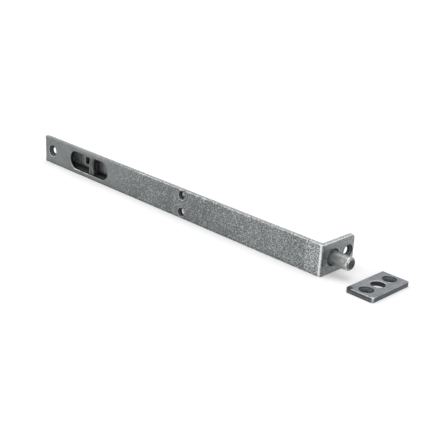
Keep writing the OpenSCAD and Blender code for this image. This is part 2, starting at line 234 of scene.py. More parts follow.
def eased_copy(node: str, name: str, radius: float, cuts: Sequence[float] = ()) -> bpy.types.Object:
    """Copies a CAD node's mesh and takes its sharp edges off, as tumbling does.

    Args:
        node: The CAD node to copy.
        name: The new object's name.
        radius: How far the edges are rounded, in millimetres.
        cuts: Places along X at which flat faces are cut, so that marks can change there.

    Returns:
        The object, whose wear is 1 on the rounded edges.
    """
    work = bmesh.new()
    work.from_mesh(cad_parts[node].data)
    bmesh.ops.remove_doubles(work, verts=work.verts, dist=WELD_DISTANCE * MM)
    bmesh.ops.dissolve_limit(work, angle_limit=FLAT_ANGLE, verts=work.verts, edges=work.edges)
    for cut in cuts:
        bmesh.ops.bisect_plane(work, geom=[*work.verts, *work.edges, *work.faces], dist=WELD_DISTANCE * MM,
                               plane_co=(cut * MM, 0, 0), plane_no=(1, 0, 0))
    sharp = [e for e in work.edges if e.is_manifold and e.calc_face_angle(0) > SHARP_ANGLE]
    rounded = bmesh.ops.bevel(work, geom=sharp, offset=radius * MM, segments=2, profile=0.5,
                              affect="EDGES", clamp_overlap=True)
    wear = work.loops.layers.float.new(WEAR_AND_HIGHLIGHT)
    for face in work.faces:
        for corner in face.loops:
            corner[wear] = 0.0
    for face in rounded["faces"]:
        for corner in face.loops:
            corner[wear] = 1.0
    bmesh.ops.triangulate(work, faces=[f for f in work.faces if len(f.verts) > 4])
    bmesh.ops.recalc_face_normals(work, faces=work.faces)
    mesh = bpy.data.meshes.new(name)
    work.to_mesh(mesh)
    work.free()
    return linked(name, mesh)


# Flat work: a sheet or bar that is blanked, pierced and has its edges eased, and may be bent


@dataclass(frozen=True)
class Stop:
    """One step of an edge's section, from the front face over the wall to the back."""

    inset: float
    depth: float
    wear: float = 0.0
    patina_and_shade: float = 0.0


Rim = Callable[[Vector], Sequence[Stop]]


@dataclass(frozen=True)
class Arc:
    """A stretch of a closed line: a turn about a centre, from one angle through another."""

    centre: Vector
    radius: float
    start: float
    sweep: float


@dataclass
class Loop:
    """A closed line in the flat: its points, the way into the metal, and the room it leaves."""

    points: list[Vector]
    into: list[Vector]
    clearance: Spread


def closed_line(arcs: Sequence[Arc], pitch: float, metal_inside: bool) -> tuple[list[Vector], list[Vector]]:
    """Samples a closed line of arcs joined by straight runs.

    Args:
        arcs: The arcs in order, anticlockwise.
        pitch: The longest step along the line.
        metal_inside: Whether the metal lies inside the line.

    Returns:
        The points, and the unit vector into the metal at each of them.
    """
    marks: list[tuple[Vector, Vector]] = []
    for arc in arcs:
        steps = max(ARC_LEAST_STEPS, math.ceil(arc.radius * arc.sweep / min(pitch, ARC_STEP)))
        for k in range(steps + 1):
            angle = arc.start + arc.sweep * k / steps
            out = Vector((math.cos(angle), math.sin(angle)))
            marks.append((arc.centre + out * arc.radius, out))
    points: list[Vector] = []
    into: list[Vector] = []
    way = -1.0 if metal_inside else 1.0
    for (here, out), (there, _) in zip(marks, marks[1:] + marks[:1]):
        gap = (there - here).length
        if gap < WELD_DISTANCE:
            continue
        runs = max(1, round(gap / pitch))
        for k in range(runs):
            points.append(here.lerp(there, k / runs))
            into.append(out * way)
    return points, into


def rectangle(low: Vector, high: Vector, radii: Sequence[float], pitch: float, metal_inside: bool) -> Loop:
    """Makes a rectangle with rounded corners.

    Args:
        low: Its lowest corner.
        high: Its highest corner.
        radii: The corners' radii: low left, low right, high right, high left.
        pitch: The longest step along the line.
        metal_inside: Whether the rectangle is a piece's outline and not a hole in it.

    Returns:
        The closed line.
    """
    corners = ((low.x, low.y), (high.x, low.y), (high.x, high.y), (low.x, high.y))
    signs = ((1, 1), (-1, 1), (-1, -1), (1, -1))
    arcs = []
    for k, ((x, y), (right, up), radius) in enumerate(zip(corners, signs, radii)):
        centre = Vector((x + right * radius, y + up * radius))
        arcs.append(Arc(centre, radius, math.pi + k * math.pi / 2, math.pi / 2))
    middle = (low + high) / 2
    half = (high - low) / 2

    def clearance(point: Vector) -> float:
        """Gives how far a point lies from the line on its metal side.

        Args:
            point: The point, in the flat.

        Returns:
            The distance, which is below 0 off the metal.
        """
        away = point - middle
        quarter = (0 if away.x < 0 else 1) if away.y < 0 else (3 if away.x < 0 else 2)
        radius = radii[quarter]
        past_x = abs(away.x) - half.x + radius
        past_y = abs(away.y) - half.y + radius
        outside = math.hypot(max(past_x, 0), max(past_y, 0)) + min(max(past_x, past_y), 0) - radius
        return -outside if metal_inside else outside

    points, into = closed_line(arcs, pitch, metal_inside)
    return Loop(points, into, clearance)


def obround(centre: Vector, half_run: float, radius: float, pitch: float) -> Loop:
    """Makes a hole that is round, or obround where it has a straight run.

    Args:
        centre: The hole's middle.
        half_run: Half the distance between its two centres, and 0 on a round hole.
        radius: Its radius.
        pitch: The longest step along the line.

    Returns:
        The closed line.
    """
    run = Vector((half_run, 0))
    arcs = [Arc(centre, radius, 0, 2 * math.pi)]
    if half_run > 0:
        arcs = [Arc(centre + run, radius, -math.pi / 2, math.pi),
                Arc(centre - run, radius, math.pi / 2, math.pi)]

    def clearance(point: Vector) -> float:
        """Gives how far a point lies from the line on its metal side."""
        away = point - centre
        return math.hypot(max(abs(away.x) - half_run, 0), away.y) - radius

    points, into = closed_line(arcs, pitch, False)
    return Loop(points, into, clearance)


def round_hole(centre: Vector, diameter: float, pitch: float) -> Loop:
    """Makes a round hole."""
    return obround(centre, 0, diameter / 2, pitch)


def rounding(radius: float, wear: float, steps: int = 5) -> list[Stop]:
    """Gives the section of a rounded front edge, from the face to the wall.

    Args:
        radius: The rounding's radius.
        wear: How far the finish is rubbed off at the middle of the rounding.
        steps: The number of steps over the rounding.

    Returns:
        The section's steps.
    """
    stops = []
    for k in range(steps + 1):
        angle = math.pi / 2 * k / steps
        share = 0.45 + 0.55 * math.sin(2 * angle)
        stops.append(Stop(radius * (1 - math.sin(angle)), radius * (1 - math.cos(angle)), wear * share))
    return stops


@dataclass
class FlatWork:
    """A sheet or bar with its outline, its holes and eased edges, set into place by a rule."""

    name: str
    outline: tuple[Loop, Rim]
    holes: Sequence[tuple[Loop, Rim]]
    thickness: float
    pitch: float
    back_pitch: float
    place: Place
    relief: Callable[[float, float], float]
    dense: tuple[float, float] = (0.0, 0.0)

    def build(self) -> bpy.types.Object:
        """Builds the piece as one closed mesh.

        Returns:
            Its object.
        """
        shell = Shell()
        for loop, rim in (self.outline, *self.holes):
            self._wall(shell, loop, rim)
        self._face(shell, 0, self.pitch)
        self._face(shell, -1, self.back_pitch)
        return shell.to_object(self.name)

    def _set(self, shell: Shell, along: float, across: float, stop: Stop) -> int:
        """Sets one point of the flat into the row frame, lifted by the relief, and gives its index."""
        lift = self.relief(along, across) * (1 - stop.depth / self.thickness)
        return shell.add_point(self.place(along, across, stop.depth - lift), stop.wear, stop.patina_and_shade)

    def _wall(self, shell: Shell, loop: Loop, rim: Rim) -> None:
        """Adds the eased edges and the wall along one line.

        Args:
            shell: The mesh to add to.
            loop: The line.
            rim: What gives the section at a spot of the line.
        """
        rows = []
        for point, into in zip(loop.points, loop.into):
            row = []
            for stop in rim(point):
                spot = point + into * stop.inset
                row.append(self._set(shell, spot.x, spot.y, stop))
            rows.append(row)
        for row, after in zip(rows, rows[1:] + rows[:1]):
            for k in range(len(row) - 1):
                shell.faces.append((row[k], after[k], after[k + 1], row[k + 1]))

    def _face(self, shell: Shell, stop_place: int, pitch: float) -> None:
        """Adds the front face or the back as triangles of about one pitch.

        Args:
            shell: The mesh to add to.
            stop_place: Which step of a section the face joins: 0 for the front and -1 for the back.
            pitch: The triangles' size.
        """
        spots: list[Vector] = []
        rings: list[list[int]] = []
        for loop, rim in (self.outline, *self.holes):
            rings.append(list(range(len(spots), len(spots) + len(loop.points))))
            spots.extend(p + into * rim(p)[stop_place].inset for p, into in zip(loop.points, loop.into))
        spots.extend(self._grid(stop_place, pitch))
        flat, _, triangles, *_ = delaunay_2d_cdt(spots, [], rings, INSIDE_WITHOUT_HOLES, MESHING_TOLERANCE)
        stop = self.outline[1](self.outline[0].points[0])[stop_place]
        level = Stop(0, stop.depth)
        index = [self._set(shell, spot.x, spot.y, level) for spot in flat]
        shell.faces.extend(tuple(index[k] for k in triangle) for triangle in triangles)

    def _grid(self, stop_place: int, pitch: float) -> list[Vector]:
        """Gives the points inside a face: at the pitch, and at half of it in the dense stretch.

        Args:
            stop_place: Which step of a section the face joins.
            pitch: The distance between the points.

        Returns:
            The points, in the flat.
        """
        along = [point.x for point in self.outline[0].points]
        start, end = self.dense
        stretches = ((min(along), start, pitch), (start, end, pitch / 2), (end, max(along), pitch))
        spots = []
        for low, high, step in stretches:
            spots.extend(spot for spot in self._rows(low, high, step)
                         if self._in_metal(spot, stop_place, 0.5 * step))
        return spots

    def _rows(self, low: float, high: float, step: float) -> Iterator[Vector]:
        """Gives staggered rows of points, loosened by a seeded jitter.

        Args:
            low: Where the rows start along the piece.
            high: Where they end.
            step: The distance between the points.

        Yields:
            Each point, in the flat.
        """
        jitter = random.Random(LOOSE_SEED)
        across = [point.y for point in self.outline[0].points]
        for row in range(int((max(across) - min(across)) / (step * ROW_STEP)) + 1):
            for column in range(int((high - low) / step) + 1):
                yield Vector((
                    low + step * (column + 0.5 * (row % 2) + jitter.uniform(-LOOSENESS, LOOSENESS)),
                    min(across) + step * (ROW_STEP * row + jitter.uniform(-LOOSENESS, LOOSENESS)),
                ))

    def _in_metal(self, spot: Vector, stop_place: int, margin: float) -> bool:
        """Says whether a spot lies on a face.

        Args:
            spot: The spot, in the flat.
            stop_place: Which step of a section the face joins.
            margin: How far inside the face's edges the spot has to lie.

        Returns:
            Whether it does.
        """
        for loop, rim in (self.outline, *self.holes):
            if loop.clearance(spot) < rim(spot)[stop_place].inset + margin:
                return False
        return True


def screw_rim(hole: float, sink: float, thickness: float, wear: Spread) -> Rim:
    """Gives the section of a countersunk hole.

    Args:
        hole: The hole's diameter.
        sink: The countersink's diameter.
        thickness: The sheet's thickness.
        wear: How far the rim is rubbed at a spot of it.

    Returns:
        The section, with a rubbed rim and a dark cone.
    """
    cone = (sink - hole) / 2

    def stops(spot: Vector) -> list[Stop]:
        """Gives the section's steps at a spot of the rim.

        Args:
            spot: The spot, in the flat.

        Returns:
            The steps, from the front face to the back.
        """
        rubbed = wear(spot)
        return [
            Stop(cone + 0.04, 0, 0.8 * rubbed),
            Stop(cone - 0.01, 0.03, rubbed, 0.1),
            Stop(cone - 0.1, 0.11, 0.9 * rubbed, 0.4),
            Stop(cone - 0.25, 0.25, 0, 0.9),
            Stop(0.55 * cone, 0.45 * cone, 0.3, 0.6),
            Stop(0.08, cone - 0.08, 0.1, 0.95),
            Stop(0, cone + 0.06, 0.2, 0.9),
            Stop(0, thickness - 0.08, 0, 0.9),
            Stop(0.02, thickness - 0.02, 0.3, 0.5),
            Stop(0.08, thickness, 0.2),
            Stop(0.5, thickness),
        ]

    return stops


def chamfer_rim(chamfer: float, thickness: float, wear: Spread, soot_and_shade: float = 0.0) -> Rim:
    """Gives the section of a pierced edge with a small chamfer.

    Args:
        chamfer: The chamfer's leg.
        thickness: The sheet's thickness.
        wear: How far the finish is rubbed off the chamfer at a spot of it.
        soot_and_shade: How dark the chamfer is with painted shade.

    Returns:
        The section.
    """

    def stops(spot: Vector) -> list[Stop]:
        """Gives the section's steps at a spot of the rim.

        Args:
            spot: The spot, in the flat.

        Returns:
            The steps, from the front face to the back.
        """
        rubbed = wear(spot)
        return [
            Stop(chamfer + 0.5, 0, 0, 0.6 * soot_and_shade),
            Stop(chamfer + 0.06, 0, 0.5 * rubbed, soot_and_shade),
            Stop(chamfer - 0.03, 0.04, rubbed, soot_and_shade),
            Stop(0.05, chamfer - 0.03, 0.9 * rubbed, soot_and_shade),
            Stop(0, chamfer + 0.1, 0.45 * rubbed, max(0.3, soot_and_shade)),
            Stop(0, chamfer + 0.5, 0, 0.9),
            Stop(0, thickness - 0.15, 0, 1),
            Stop(0.05, thickness - 0.04, 0.3, 0.5),
            Stop(0.15, thickness, 0.1),
            Stop(0.5, thickness),
        ]

    return stops


@dataclass(frozen=True)
class Edge:
    """An outline's edge at one spot: its front rounding, the wear of it and of the wall with painted light in
    places, and painted shade on the wall.
    """

    radius: float
    wear: float = 0.0
    wall_wear_and_light: float = 0.0
    soot_and_shade: float = 0.0


def outer_rim(edge: Callable[[Vector], Edge], thickness: float) -> Rim:
    """Gives the section of an outline whose edge changes along it.

    Args:
        edge: What gives the edge at a spot of the flat.
        thickness: The sheet's thickness.

    Returns:
        The section.
    """

    def stops(spot: Vector) -> list[Stop]:
        """Gives the section's steps at a spot of the rim.

        Args:
            spot: The spot, in the flat.

        Returns:
            The steps, from the front face to the back.
        """
        here = edge(spot)
        back = max(0.5 * here.wear, here.wall_wear_and_light)
        wall = [
            Stop(0, here.radius + 0.25, here.wall_wear_and_light, here.soot_and_shade),
            Stop(0, thickness * 0.62, here.wall_wear_and_light, 0.65 * here.soot_and_shade),
            Stop(0, thickness - 0.3, here.wall_wear_and_light, 0.9 * here.soot_and_shade),
            Stop(0.04, thickness - 0.03, back, 0.5 * here.soot_and_shade),
            Stop(0.12, thickness, 0.3 * back),
            Stop(0.7, thickness),
        ]
        return rounding(here.radius, here.wear) + wall

    return stops


# Turned work


def filleted(corners: Sequence[Point]) -> list[Point]:
    """Rounds the corners of a turned section.

    Args:
        corners: Each corner's place along the axis, its radius from the axis and its rounding.

    Returns:
        The section's points as place, radius and wear, which is 1 on a rounding.
    """
    section = [(corners[0][0], corners[0][1], 0.0)]
    for before, corner, after in zip(corners, corners[1:], corners[2:]):
        spot = Vector(corner[:2])
        back = Vector(before[:2]) - spot
        on = Vector(after[:2]) - spot
        trim = min(corner[2], back.length / FILLET_ROOM, on.length / FILLET_ROOM)
        if trim <= 0:
            section.append((spot.x, spot.y, 0.0))
            continue
        first = spot + back.normalized() * trim
        last = spot + on.normalized() * trim
        for k in range(FILLET_STEPS + 1):
            share = k / FILLET_STEPS
            point = first * (1 - share) ** 2 + spot * 2 * share * (1 - share) + last * share ** 2
            section.append((point.x, point.y, 1.0 if 0 < k < FILLET_STEPS else 0.5))
    section.append((corners[-1][0], corners[-1][1], 0.0))
    return section


def turned(shell: Shell, section: Sequence[Point], place: Place, sides: int = 96) -> None:
    """Adds a turned solid whose section starts and ends on its axis.

    Args:
        shell: The mesh to add to.
        section: The section's points as place along the axis, radius and wear.
        place: What sets a point, given along the axis and as two offsets from it.
        sides: The number of sides of the turned solid.
    """
    rings: list[list[int]] = []
    for along, radius, wear in section:
        if radius <= 0:
            rings.append([shell.add_point(place(along, 0, 0), wear)] * sides)
            continue
        ring = []
        for k in range(sides):
            angle = 2 * math.pi * k / sides
            spot = place(along, radius * math.cos(angle), radius * math.sin(angle))
            ring.append(shell.add_point(spot, wear))
        rings.append(ring)
    for ring, after in zip(rings, rings[1:]):
        for k in range(sides):
            turn = (k + 1) % sides
            face = dict.fromkeys((ring[k], ring[turn], after[turn], after[k]))
            if len(face) > 2:
                shell.faces.append(tuple(face))


# Node trees


class Graph:
    """A node tree with short ways to add its nodes and join them."""

    def __init__(self, tree: bpy.types.NodeTree) -> None:
        """Takes the tree to work on."""
        self.tree = tree

    def add(self, kind: str, inputs: dict[Any, Any] | None = None, **settings: Any) -> bpy.types.Node:
        """Adds a node.

        Args:
            kind: The node's type.
            inputs: Its inputs by name or place, each a value or an output to join to it.
            settings: Its own settings, such as an operation.

        Returns:
            The node.
        """
        node = self.tree.nodes.new(kind)
        for key, value in settings.items():
            setattr(node, key, value)
        for key, value in (inputs or {}).items():
            if isinstance(value, bpy.types.NodeSocket):
                self.tree.links.new(value, node.inputs[key])
            else:
                node.inputs[key].default_value = value
        return node

    def math(self, operation: str, *values: Any, clamp: bool = False) -> bpy.types.NodeSocket:
        """Adds a Math node on the values and gives its output."""
        node = self.add("ShaderNodeMath", dict(enumerate(values)), operation=operation, use_clamp=clamp)
        return node.outputs[0]

    def times(self, first: Any, second: Any, clamp: bool = False) -> bpy.types.NodeSocket:
        """Multiplies two values."""
        return self.math("MULTIPLY", first, second, clamp=clamp)

    def plus(self, first: Any, second: Any, clamp: bool = False) -> bpy.types.NodeSocket:
        """Adds two values."""
        return self.math("ADD", first, second, clamp=clamp)

    def minus(self, first: Any, second: Any) -> bpy.types.NodeSocket:
        """Takes the second value from the first."""
        return self.math("SUBTRACT", first, second)

    def sway(self, value: Any, reach: Any) -> bpy.types.NodeSocket:
        """Gives a noise's swing about its middle, times its reach."""
        return self.times(self.minus(value, NOISE_MIDDLE), reach)

    def mark(self, name: str) -> bpy.types.NodeSocket:
        """Gives an attribute of the mesh as a value."""
        return self.add("ShaderNodeAttribute", attribute_name=name).outputs["Fac"]

    def ramp(self, value: Any, low: float, high: float) -> bpy.types.NodeSocket:
        """Stretches a value so that low becomes 0 and high becomes 1, smoothly and clamped.

        Args:
            value: The value's output.
            low: What becomes 0.
            high: What becomes 1, which may lie below low.

        Returns:
            The stretched value's output.
        """
        inputs = {"Value": value, "From Min": low, "From Max": high}
        node = self.add("ShaderNodeMapRange", inputs, interpolation_type="SMOOTHSTEP")
        return node.outputs["Result"]

    def mix(self, share: Any, first: Any, second: Any) -> bpy.types.NodeSocket:
        """Mixes two colours, from the first at 0 to the second at 1."""
        inputs = {0: share, 6: opaque(first), 7: opaque(second)}
        return self.add("ShaderNodeMix", inputs, data_type="RGBA").outputs[2]

    def noise(self, vector: Any, scale: Any, detail: float = 3.0,
              rough: float = 0.55) -> bpy.types.NodeSocket:
        """Adds a Noise Texture and gives its value."""
        inputs = {"Vector": vector, "Scale": scale, "Detail": detail, "Roughness": rough}
        return self.add("ShaderNodeTexNoise", inputs).outputs[0]


def opaque(colour: Any) -> Any:
    """Gives a plain colour its alpha, and leaves an output as it is."""
    return (*colour, 1.0) if isinstance(colour, tuple) else colour


@dataclass(frozen=True)
class GroupSocket:
    """A named input of a node group, or an output of it."""

    name: str
    kind: str = "NodeSocketFloat"
    default: float | None = None


class ShaderGroup(Graph):
    """A shader node group with named inputs and outputs."""

    def __init__(self, name: str, inputs: Sequence[GroupSocket], outputs: Sequence[str]) -> None:
        """Starts the group with its inputs after the vector that it works on.

        Args:
            name: The group's name.
            inputs: Its inputs after the vector.
            outputs: Its outputs' names.
        """
        super().__init__(bpy.data.node_groups.new(name, "ShaderNodeTree"))
        given = (GroupSocket("Vector", "NodeSocketVector"), *inputs)
        for direction, sockets in (("INPUT", given), ("OUTPUT", [GroupSocket(key) for key in outputs])):
            for socket in sockets:
                made = self.tree.interface.new_socket(socket.name, in_out=direction, socket_type=socket.kind)
                if socket.default is not None:
                    made.default_value = socket.default
        self.given = self.add("NodeGroupInput").outputs

    def close(self, **values: bpy.types.NodeSocket) -> bpy.types.NodeTree:
        """Joins a value to each output and gives the group's tree."""
        self.add("NodeGroupOutput", values)
        return self.tree


@dataclass(frozen=True)
class ForgedRelief:
    """Hammered and blackened metal: the scales of its noises, and the bands that are cut from them."""

    mottle_scale: float = 62.0
    patch_scale: float = 210.0
    patch_band: tuple[float, float] = (0.38, 0.6)
    patch_swing: float = 0.6
    patch_least: float = 0.4
    grain_sway: float = 0.3
    grain_height: float = 0.35
    crest_band: tuple[float, float] = (0.085, -0.01)
    pit_band: tuple[float, float] = (0.05, 0.16)
    blow_sway: float = 1.5
    blow_height: float = 0.35
    blow_share: float = 1.4
    hit_band: tuple[float, float] = (0.38, 0.62)
    dint_band: tuple[float, float] = (0.38, 0.2)
    struck_off: float = 0.75

    def build(self) -> bpy.types.NodeTree:
        """Builds the group.

        Returns:
            Its tree, which puts out the height, the crests, the pits and a broad mottle.
        """
        graph = ShaderGroup(
            "forged_surface",
            (GroupSocket("Dents", default=420.0), GroupSocket("Grain", default=1500.0),
             GroupSocket("Wander", default=0.5), GroupSocket("Struck", default=0.0),
             GroupSocket("Blows", default=1350.0), GroupSocket("Depth", default=1.0)),
            ("Height", "Crests", "Pits", "Mottle"))
        given = graph.given
        vector = given["Vector"]
        dents = graph.noise(vector, given["Dents"], 0.0)
        grain = graph.noise(vector, given["Grain"], 3.0, 0.6)
        broad = graph.noise(vector, self.mottle_scale, 4.0, 0.6)
        patchy = graph.ramp(graph.noise(vector, self.patch_scale, 2.0), *self.patch_band)
        # The crests are worm-like: they follow the lines on which the dents' noise crosses its middle.
        slope = graph.math("ABSOLUTE", graph.minus(dents, NOISE_MIDDLE))
        loose = graph.sway(grain, self.grain_sway)
        slope = graph.minus(graph.minus(slope, loose), graph.sway(broad, given["Wander"]))
        blows = graph.add("ShaderNodeTexVoronoi", {"Vector": vector, "Scale": given["Blows"]})
        blows = graph.plus(blows.outputs["Distance"], graph.times(loose, self.blow_sway))
        hits = graph.times(graph.ramp(blows, *self.hit_band), given["Struck"])
        dints = graph.times(graph.ramp(blows, *self.dint_band), given["Struck"])
        height = graph.times(graph.minus(graph.times(grain, self.grain_height), slope), given["Depth"])
        height = graph.plus(height, graph.times(graph.minus(hits, dints), self.blow_height))
        crests = graph.times(graph.ramp(slope, *self.crest_band), given["Depth"])
        patchy = graph.plus(graph.times(patchy, self.patch_swing), self.patch_least)
        unstruck = graph.minus(1.0, graph.times(given["Struck"], self.struck_off))
        crests = graph.times(graph.times(crests, patchy), unstruck)
        crests = graph.plus(crests, graph.times(hits, self.blow_share))
        pits = graph.times(graph.ramp(slope, *self.pit_band), given["Depth"])
        pits = graph.plus(pits, graph.times(dints, self.blow_share))
        return graph.close(Height=height, Crests=crests, Pits=pits, Mottle=broad)


@dataclass(frozen=True)
class DrawnLines:
    """The fine lines that drawing, brushing or turning leave, along a stretched vector."""

    coarse_scale: float = 0.31
    fine_share: float = 0.65
    coarse_share: float = 0.35
    streak_band: tuple[float, float] = (0.38, 0.62)

    def build(self) -> bpy.types.NodeTree:
        """Builds the group.

        Returns:
            Its tree, which puts out the height and the streaks.
        """
        graph = ShaderGroup("drawn_lines", (GroupSocket("Lines", default=1.0),), ("Height", "Streaks"))
        vector = graph.given["Vector"]
        lines = graph.given["Lines"]
        fine = graph.noise(vector, lines, 4.0, 0.65)
        coarse = graph.noise(vector, graph.times(lines, self.coarse_scale), 2.0)
        height = graph.plus(graph.times(fine, self.fine_share), graph.times(coarse, self.coarse_share))
        return graph.close(Height=height, Streaks=graph.ramp(height, *self.streak_band))


@dataclass(frozen=True)
class RubbedAndLitEdges:
    """The mask of rubbed edges with painted highlights, and that of patina in recesses with painted shade,
    both broken up by noise.
    """

    wear_sway: float = 0.9
    wear_band: tuple[float, float] = (0.3, 0.85)
    patina_shade_sway: float = 0.3
    patina_shade_band: tuple[float, float] = (0.15, 0.85)

    def build(self) -> bpy.types.NodeTree:
        """Builds the group.

        Returns:
            Its tree, which puts out the two masks.
        """
        graph = ShaderGroup(
            "rubbed_and_lit_edges", (GroupSocket("Amount", default=1.0), GroupSocket("Breaks", default=900.0)),
            ("Bright", "PatinaAndShade"))
        breaks = graph.noise(graph.given["Vector"], graph.given["Breaks"], 3.0, 0.6)
        worn = graph.plus(graph.mark(WEAR_AND_HIGHLIGHT), graph.sway(breaks, self.wear_sway))
        bright = graph.times(graph.ramp(worn, *self.wear_band), graph.given["Amount"], clamp=True)
        dark = graph.plus(graph.mark(PATINA_AND_SHADE), graph.sway(breaks, self.patina_shade_sway))
        return graph.close(Bright=bright, PatinaAndShade=graph.ramp(dark, *self.patina_shade_band))


@dataclass(frozen=True)
class HandledGloss:
    """The cloudy change of gloss that oil, wax and fingers leave."""

    cloud_scale: float = 95.0

    def build(self) -> bpy.types.NodeTree:
        """Builds the group.

        Returns:
            Its tree, which puts out the gloss.
        """
        inputs = (GroupSocket("Base", default=0.4), GroupSocket("Swing", default=0.1))
        graph = ShaderGroup("handled_gloss", inputs, ("Gloss",))
        clouds = graph.noise(graph.given["Vector"], self.cloud_scale, 5.0, 0.6)
        swing = graph.sway(clouds, graph.given["Swing"])
        return graph.close(Gloss=graph.plus(graph.given["Base"], swing, clamp=True))


class Effects:
    """The effects that several finishes share, each built once as a node group."""

    def __init__(self) -> None:
        """Builds the groups."""
        self.forged = ForgedRelief().build()
        self.drawn = DrawnLines().build()
        self.rubbed = RubbedAndLitEdges().build()
        self.handled = HandledGloss().build()


class MaterialSheet:
    """A material in the making: its graph, its surface shader and its coordinates."""

    def __init__(self, name: str, metallic: float) -> None:
        """Starts a material with one surface shader.

        Args:
            name: The material's name.
            metallic: How far the surface reflects as metal does.
        """
        self.material = bpy.data.materials.new(name)
        self.material.use_nodes = True
        self.graph = Graph(self.material.node_tree)
        self.surface = self.material.node_tree.nodes["Principled BSDF"]
        self.surface.inputs["Metallic"].default_value = metallic
        self.spot = self.graph.add("ShaderNodeTexCoord").outputs["Object"]

    def group(self, tree: bpy.types.NodeTree, **inputs: Any) -> bpy.types.Node:
        """Places a node group and sets its inputs, on the object's coordinates unless told."""
        inputs.setdefault("Vector", self.spot)
        return self.graph.add("ShaderNodeGroup", inputs, node_tree=tree)

    def stretched(self, scale: Point) -> bpy.types.NodeSocket:
        """Gives the object's coordinates stretched by a scale on each axis."""
        return self.graph.add("ShaderNodeMapping", {"Vector": self.spot, "Scale": scale}).outputs["Vector"]

    def finish(self, colour: Any, rough: Any, bumps: Sequence[tuple[Any, float]]) -> bpy.types.Material:
        """Joins the colour, the roughness and the relief to the surface.

        Args:
            colour: The colour's output.
            rough: The roughness's output.
            bumps: Each relief's height output and how high it stands, in millimetres.

        Returns:
            The material.
        """
        links = self.graph.tree.links
        links.new(colour, self.surface.inputs["Base Color"])
        links.new(rough, self.surface.inputs["Roughness"])
        normal = None
        for height, rise in bumps:
            bump = self.graph.add("ShaderNodeBump", {"Height": height, "Distance": rise * MM})
            if normal is not None:
                links.new(normal, bump.inputs["Normal"])
            normal = bump.outputs["Normal"]
        links.new(normal, self.surface.inputs["Normal"])
        return self.material


# Finishes


@dataclass(frozen=True)
class ForgedPewter:
    """The blackened and burnished finish of the face plate: dark pits, rubbed crests and edges."""

    name: str = "forged_pewter"
    body: Colour = (0.152, 0.164, 0.165)
    crest: Colour = (0.56, 0.583, 0.580)
    pit: Colour = (0.075, 0.083, 0.084)
    bright: Colour = (0.80, 0.815, 0.81)
    soot_and_shade: Colour = (0.028, 0.030, 0.031)
    metallic: float = 0.72
    rough: float = 0.46
    swing: float = 0.24
    rise: float = 0.13
    dents: float = 760.0
    grain: float = 1300.0
    wander: float = 0.04
    rub: float = 0.9
    breaks: float = 850.0
    cloud_band: tuple[float, float] = (0.3, 0.7)
    crest_share: float = 0.55
    pit_share: float = 0.6
    cloud_share: float = 0.1
    struck_share: float = 0.24

    def build(self, effects: Effects) -> bpy.types.Material:
        """Builds the material from the shared effects.

        Args:
            effects: The shared node groups.

        Returns:
            The material.
        """
        sheet = MaterialSheet(self.name, self.metallic)
        graph = sheet.graph
        struck = graph.mark(STRUCK)
        forged = sheet.group(effects.forged, Dents=self.dents, Grain=self.grain, Wander=self.wander,
                             Struck=struck, Depth=graph.mark(FORGING))
        rubbed = sheet.group(effects.rubbed, Amount=self.rub, Breaks=self.breaks)
        gloss = sheet.group(effects.handled, Base=self.rough, Swing=self.swing)
        clouds = graph.times(graph.ramp(forged.outputs["Mottle"], *self.cloud_band), self.cloud_share)
        clouds = graph.plus(clouds, graph.times(struck, self.struck_share))
        colour = graph.mix(clouds, self.body, self.crest)
        crests = graph.times(forged.outputs["Crests"], self.crest_share, clamp=True)
        pits = graph.times(forged.outputs["Pits"], self.pit_share, clamp=True)
        colour = graph.mix(crests, colour, self.crest)
        colour = graph.mix(pits, colour, self.pit)
        # Rubbed wear and painted highlights brighten the colour
        colour = graph.mix(rubbed.outputs["Bright"], colour, self.bright)
        # The patina of hollows and painted shade darken the colour
        colour = graph.mix(rubbed.outputs["PatinaAndShade"], colour, self.soot_and_shade)
        return sheet.finish(colour, gloss.outputs["Gloss"], ((forged.outputs["Height"], self.rise),))


@dataclass(frozen=True)
class DrawnSteel:
    """Steel with fine lines along or round it, dulled in places, with rubbed edges."""

    name: str
    body: Colour
    bright: Colour
    dull: Colour
    lines: Point
    metallic: float = 0.85
    rough: float = 0.36
    swing: float = 0.16
    line_depth: float = 0.02
    dents: float = 260.0
    grain: float = 900.0
    wander: float = 0.9
    dent_depth: float = 0.04
    rub: float = 0.8
    breaks: float = 1100.0
    streaks: float = 0.4
    stain: float = 0.5

    def build(self, effects: Effects) -> bpy.types.Material:
        """Builds the material from the shared effects.

        Args:
            effects: The shared node groups.

        Returns:
            The material.
        """
        sheet = MaterialSheet(self.name, self.metallic)
        graph = sheet.graph
        drawn = sheet.group(effects.drawn, Vector=sheet.stretched(self.lines), Lines=1.0)
        forged = sheet.group(effects.forged, Dents=self.dents, Grain=self.grain, Wander=self.wander)
        rubbed = sheet.group(effects.rubbed, Amount=self.rub, Breaks=self.breaks)
        gloss = sheet.group(effects.handled, Base=self.rough, Swing=self.swing)
        streaks = graph.times(drawn.outputs["Streaks"], self.streaks)
        colour = graph.mix(streaks, self.body, self.bright)
        stains = graph.times(forged.outputs["Pits"], self.stain, clamp=True)
        colour = graph.mix(stains, colour, self.dull)
        # Rubbed wear and painted highlights brighten the colour
        colour = graph.mix(rubbed.outputs["Bright"], colour, self.bright)
        # The patina of hollows and painted shade dull the colour
        colour = graph.mix(rubbed.outputs["PatinaAndShade"], colour, self.dull)
        bumps = ((drawn.outputs["Height"], self.line_depth), (forged.outputs["Height"], self.dent_depth))
        return sheet.finish(colour, gloss.outputs["Gloss"], bumps)


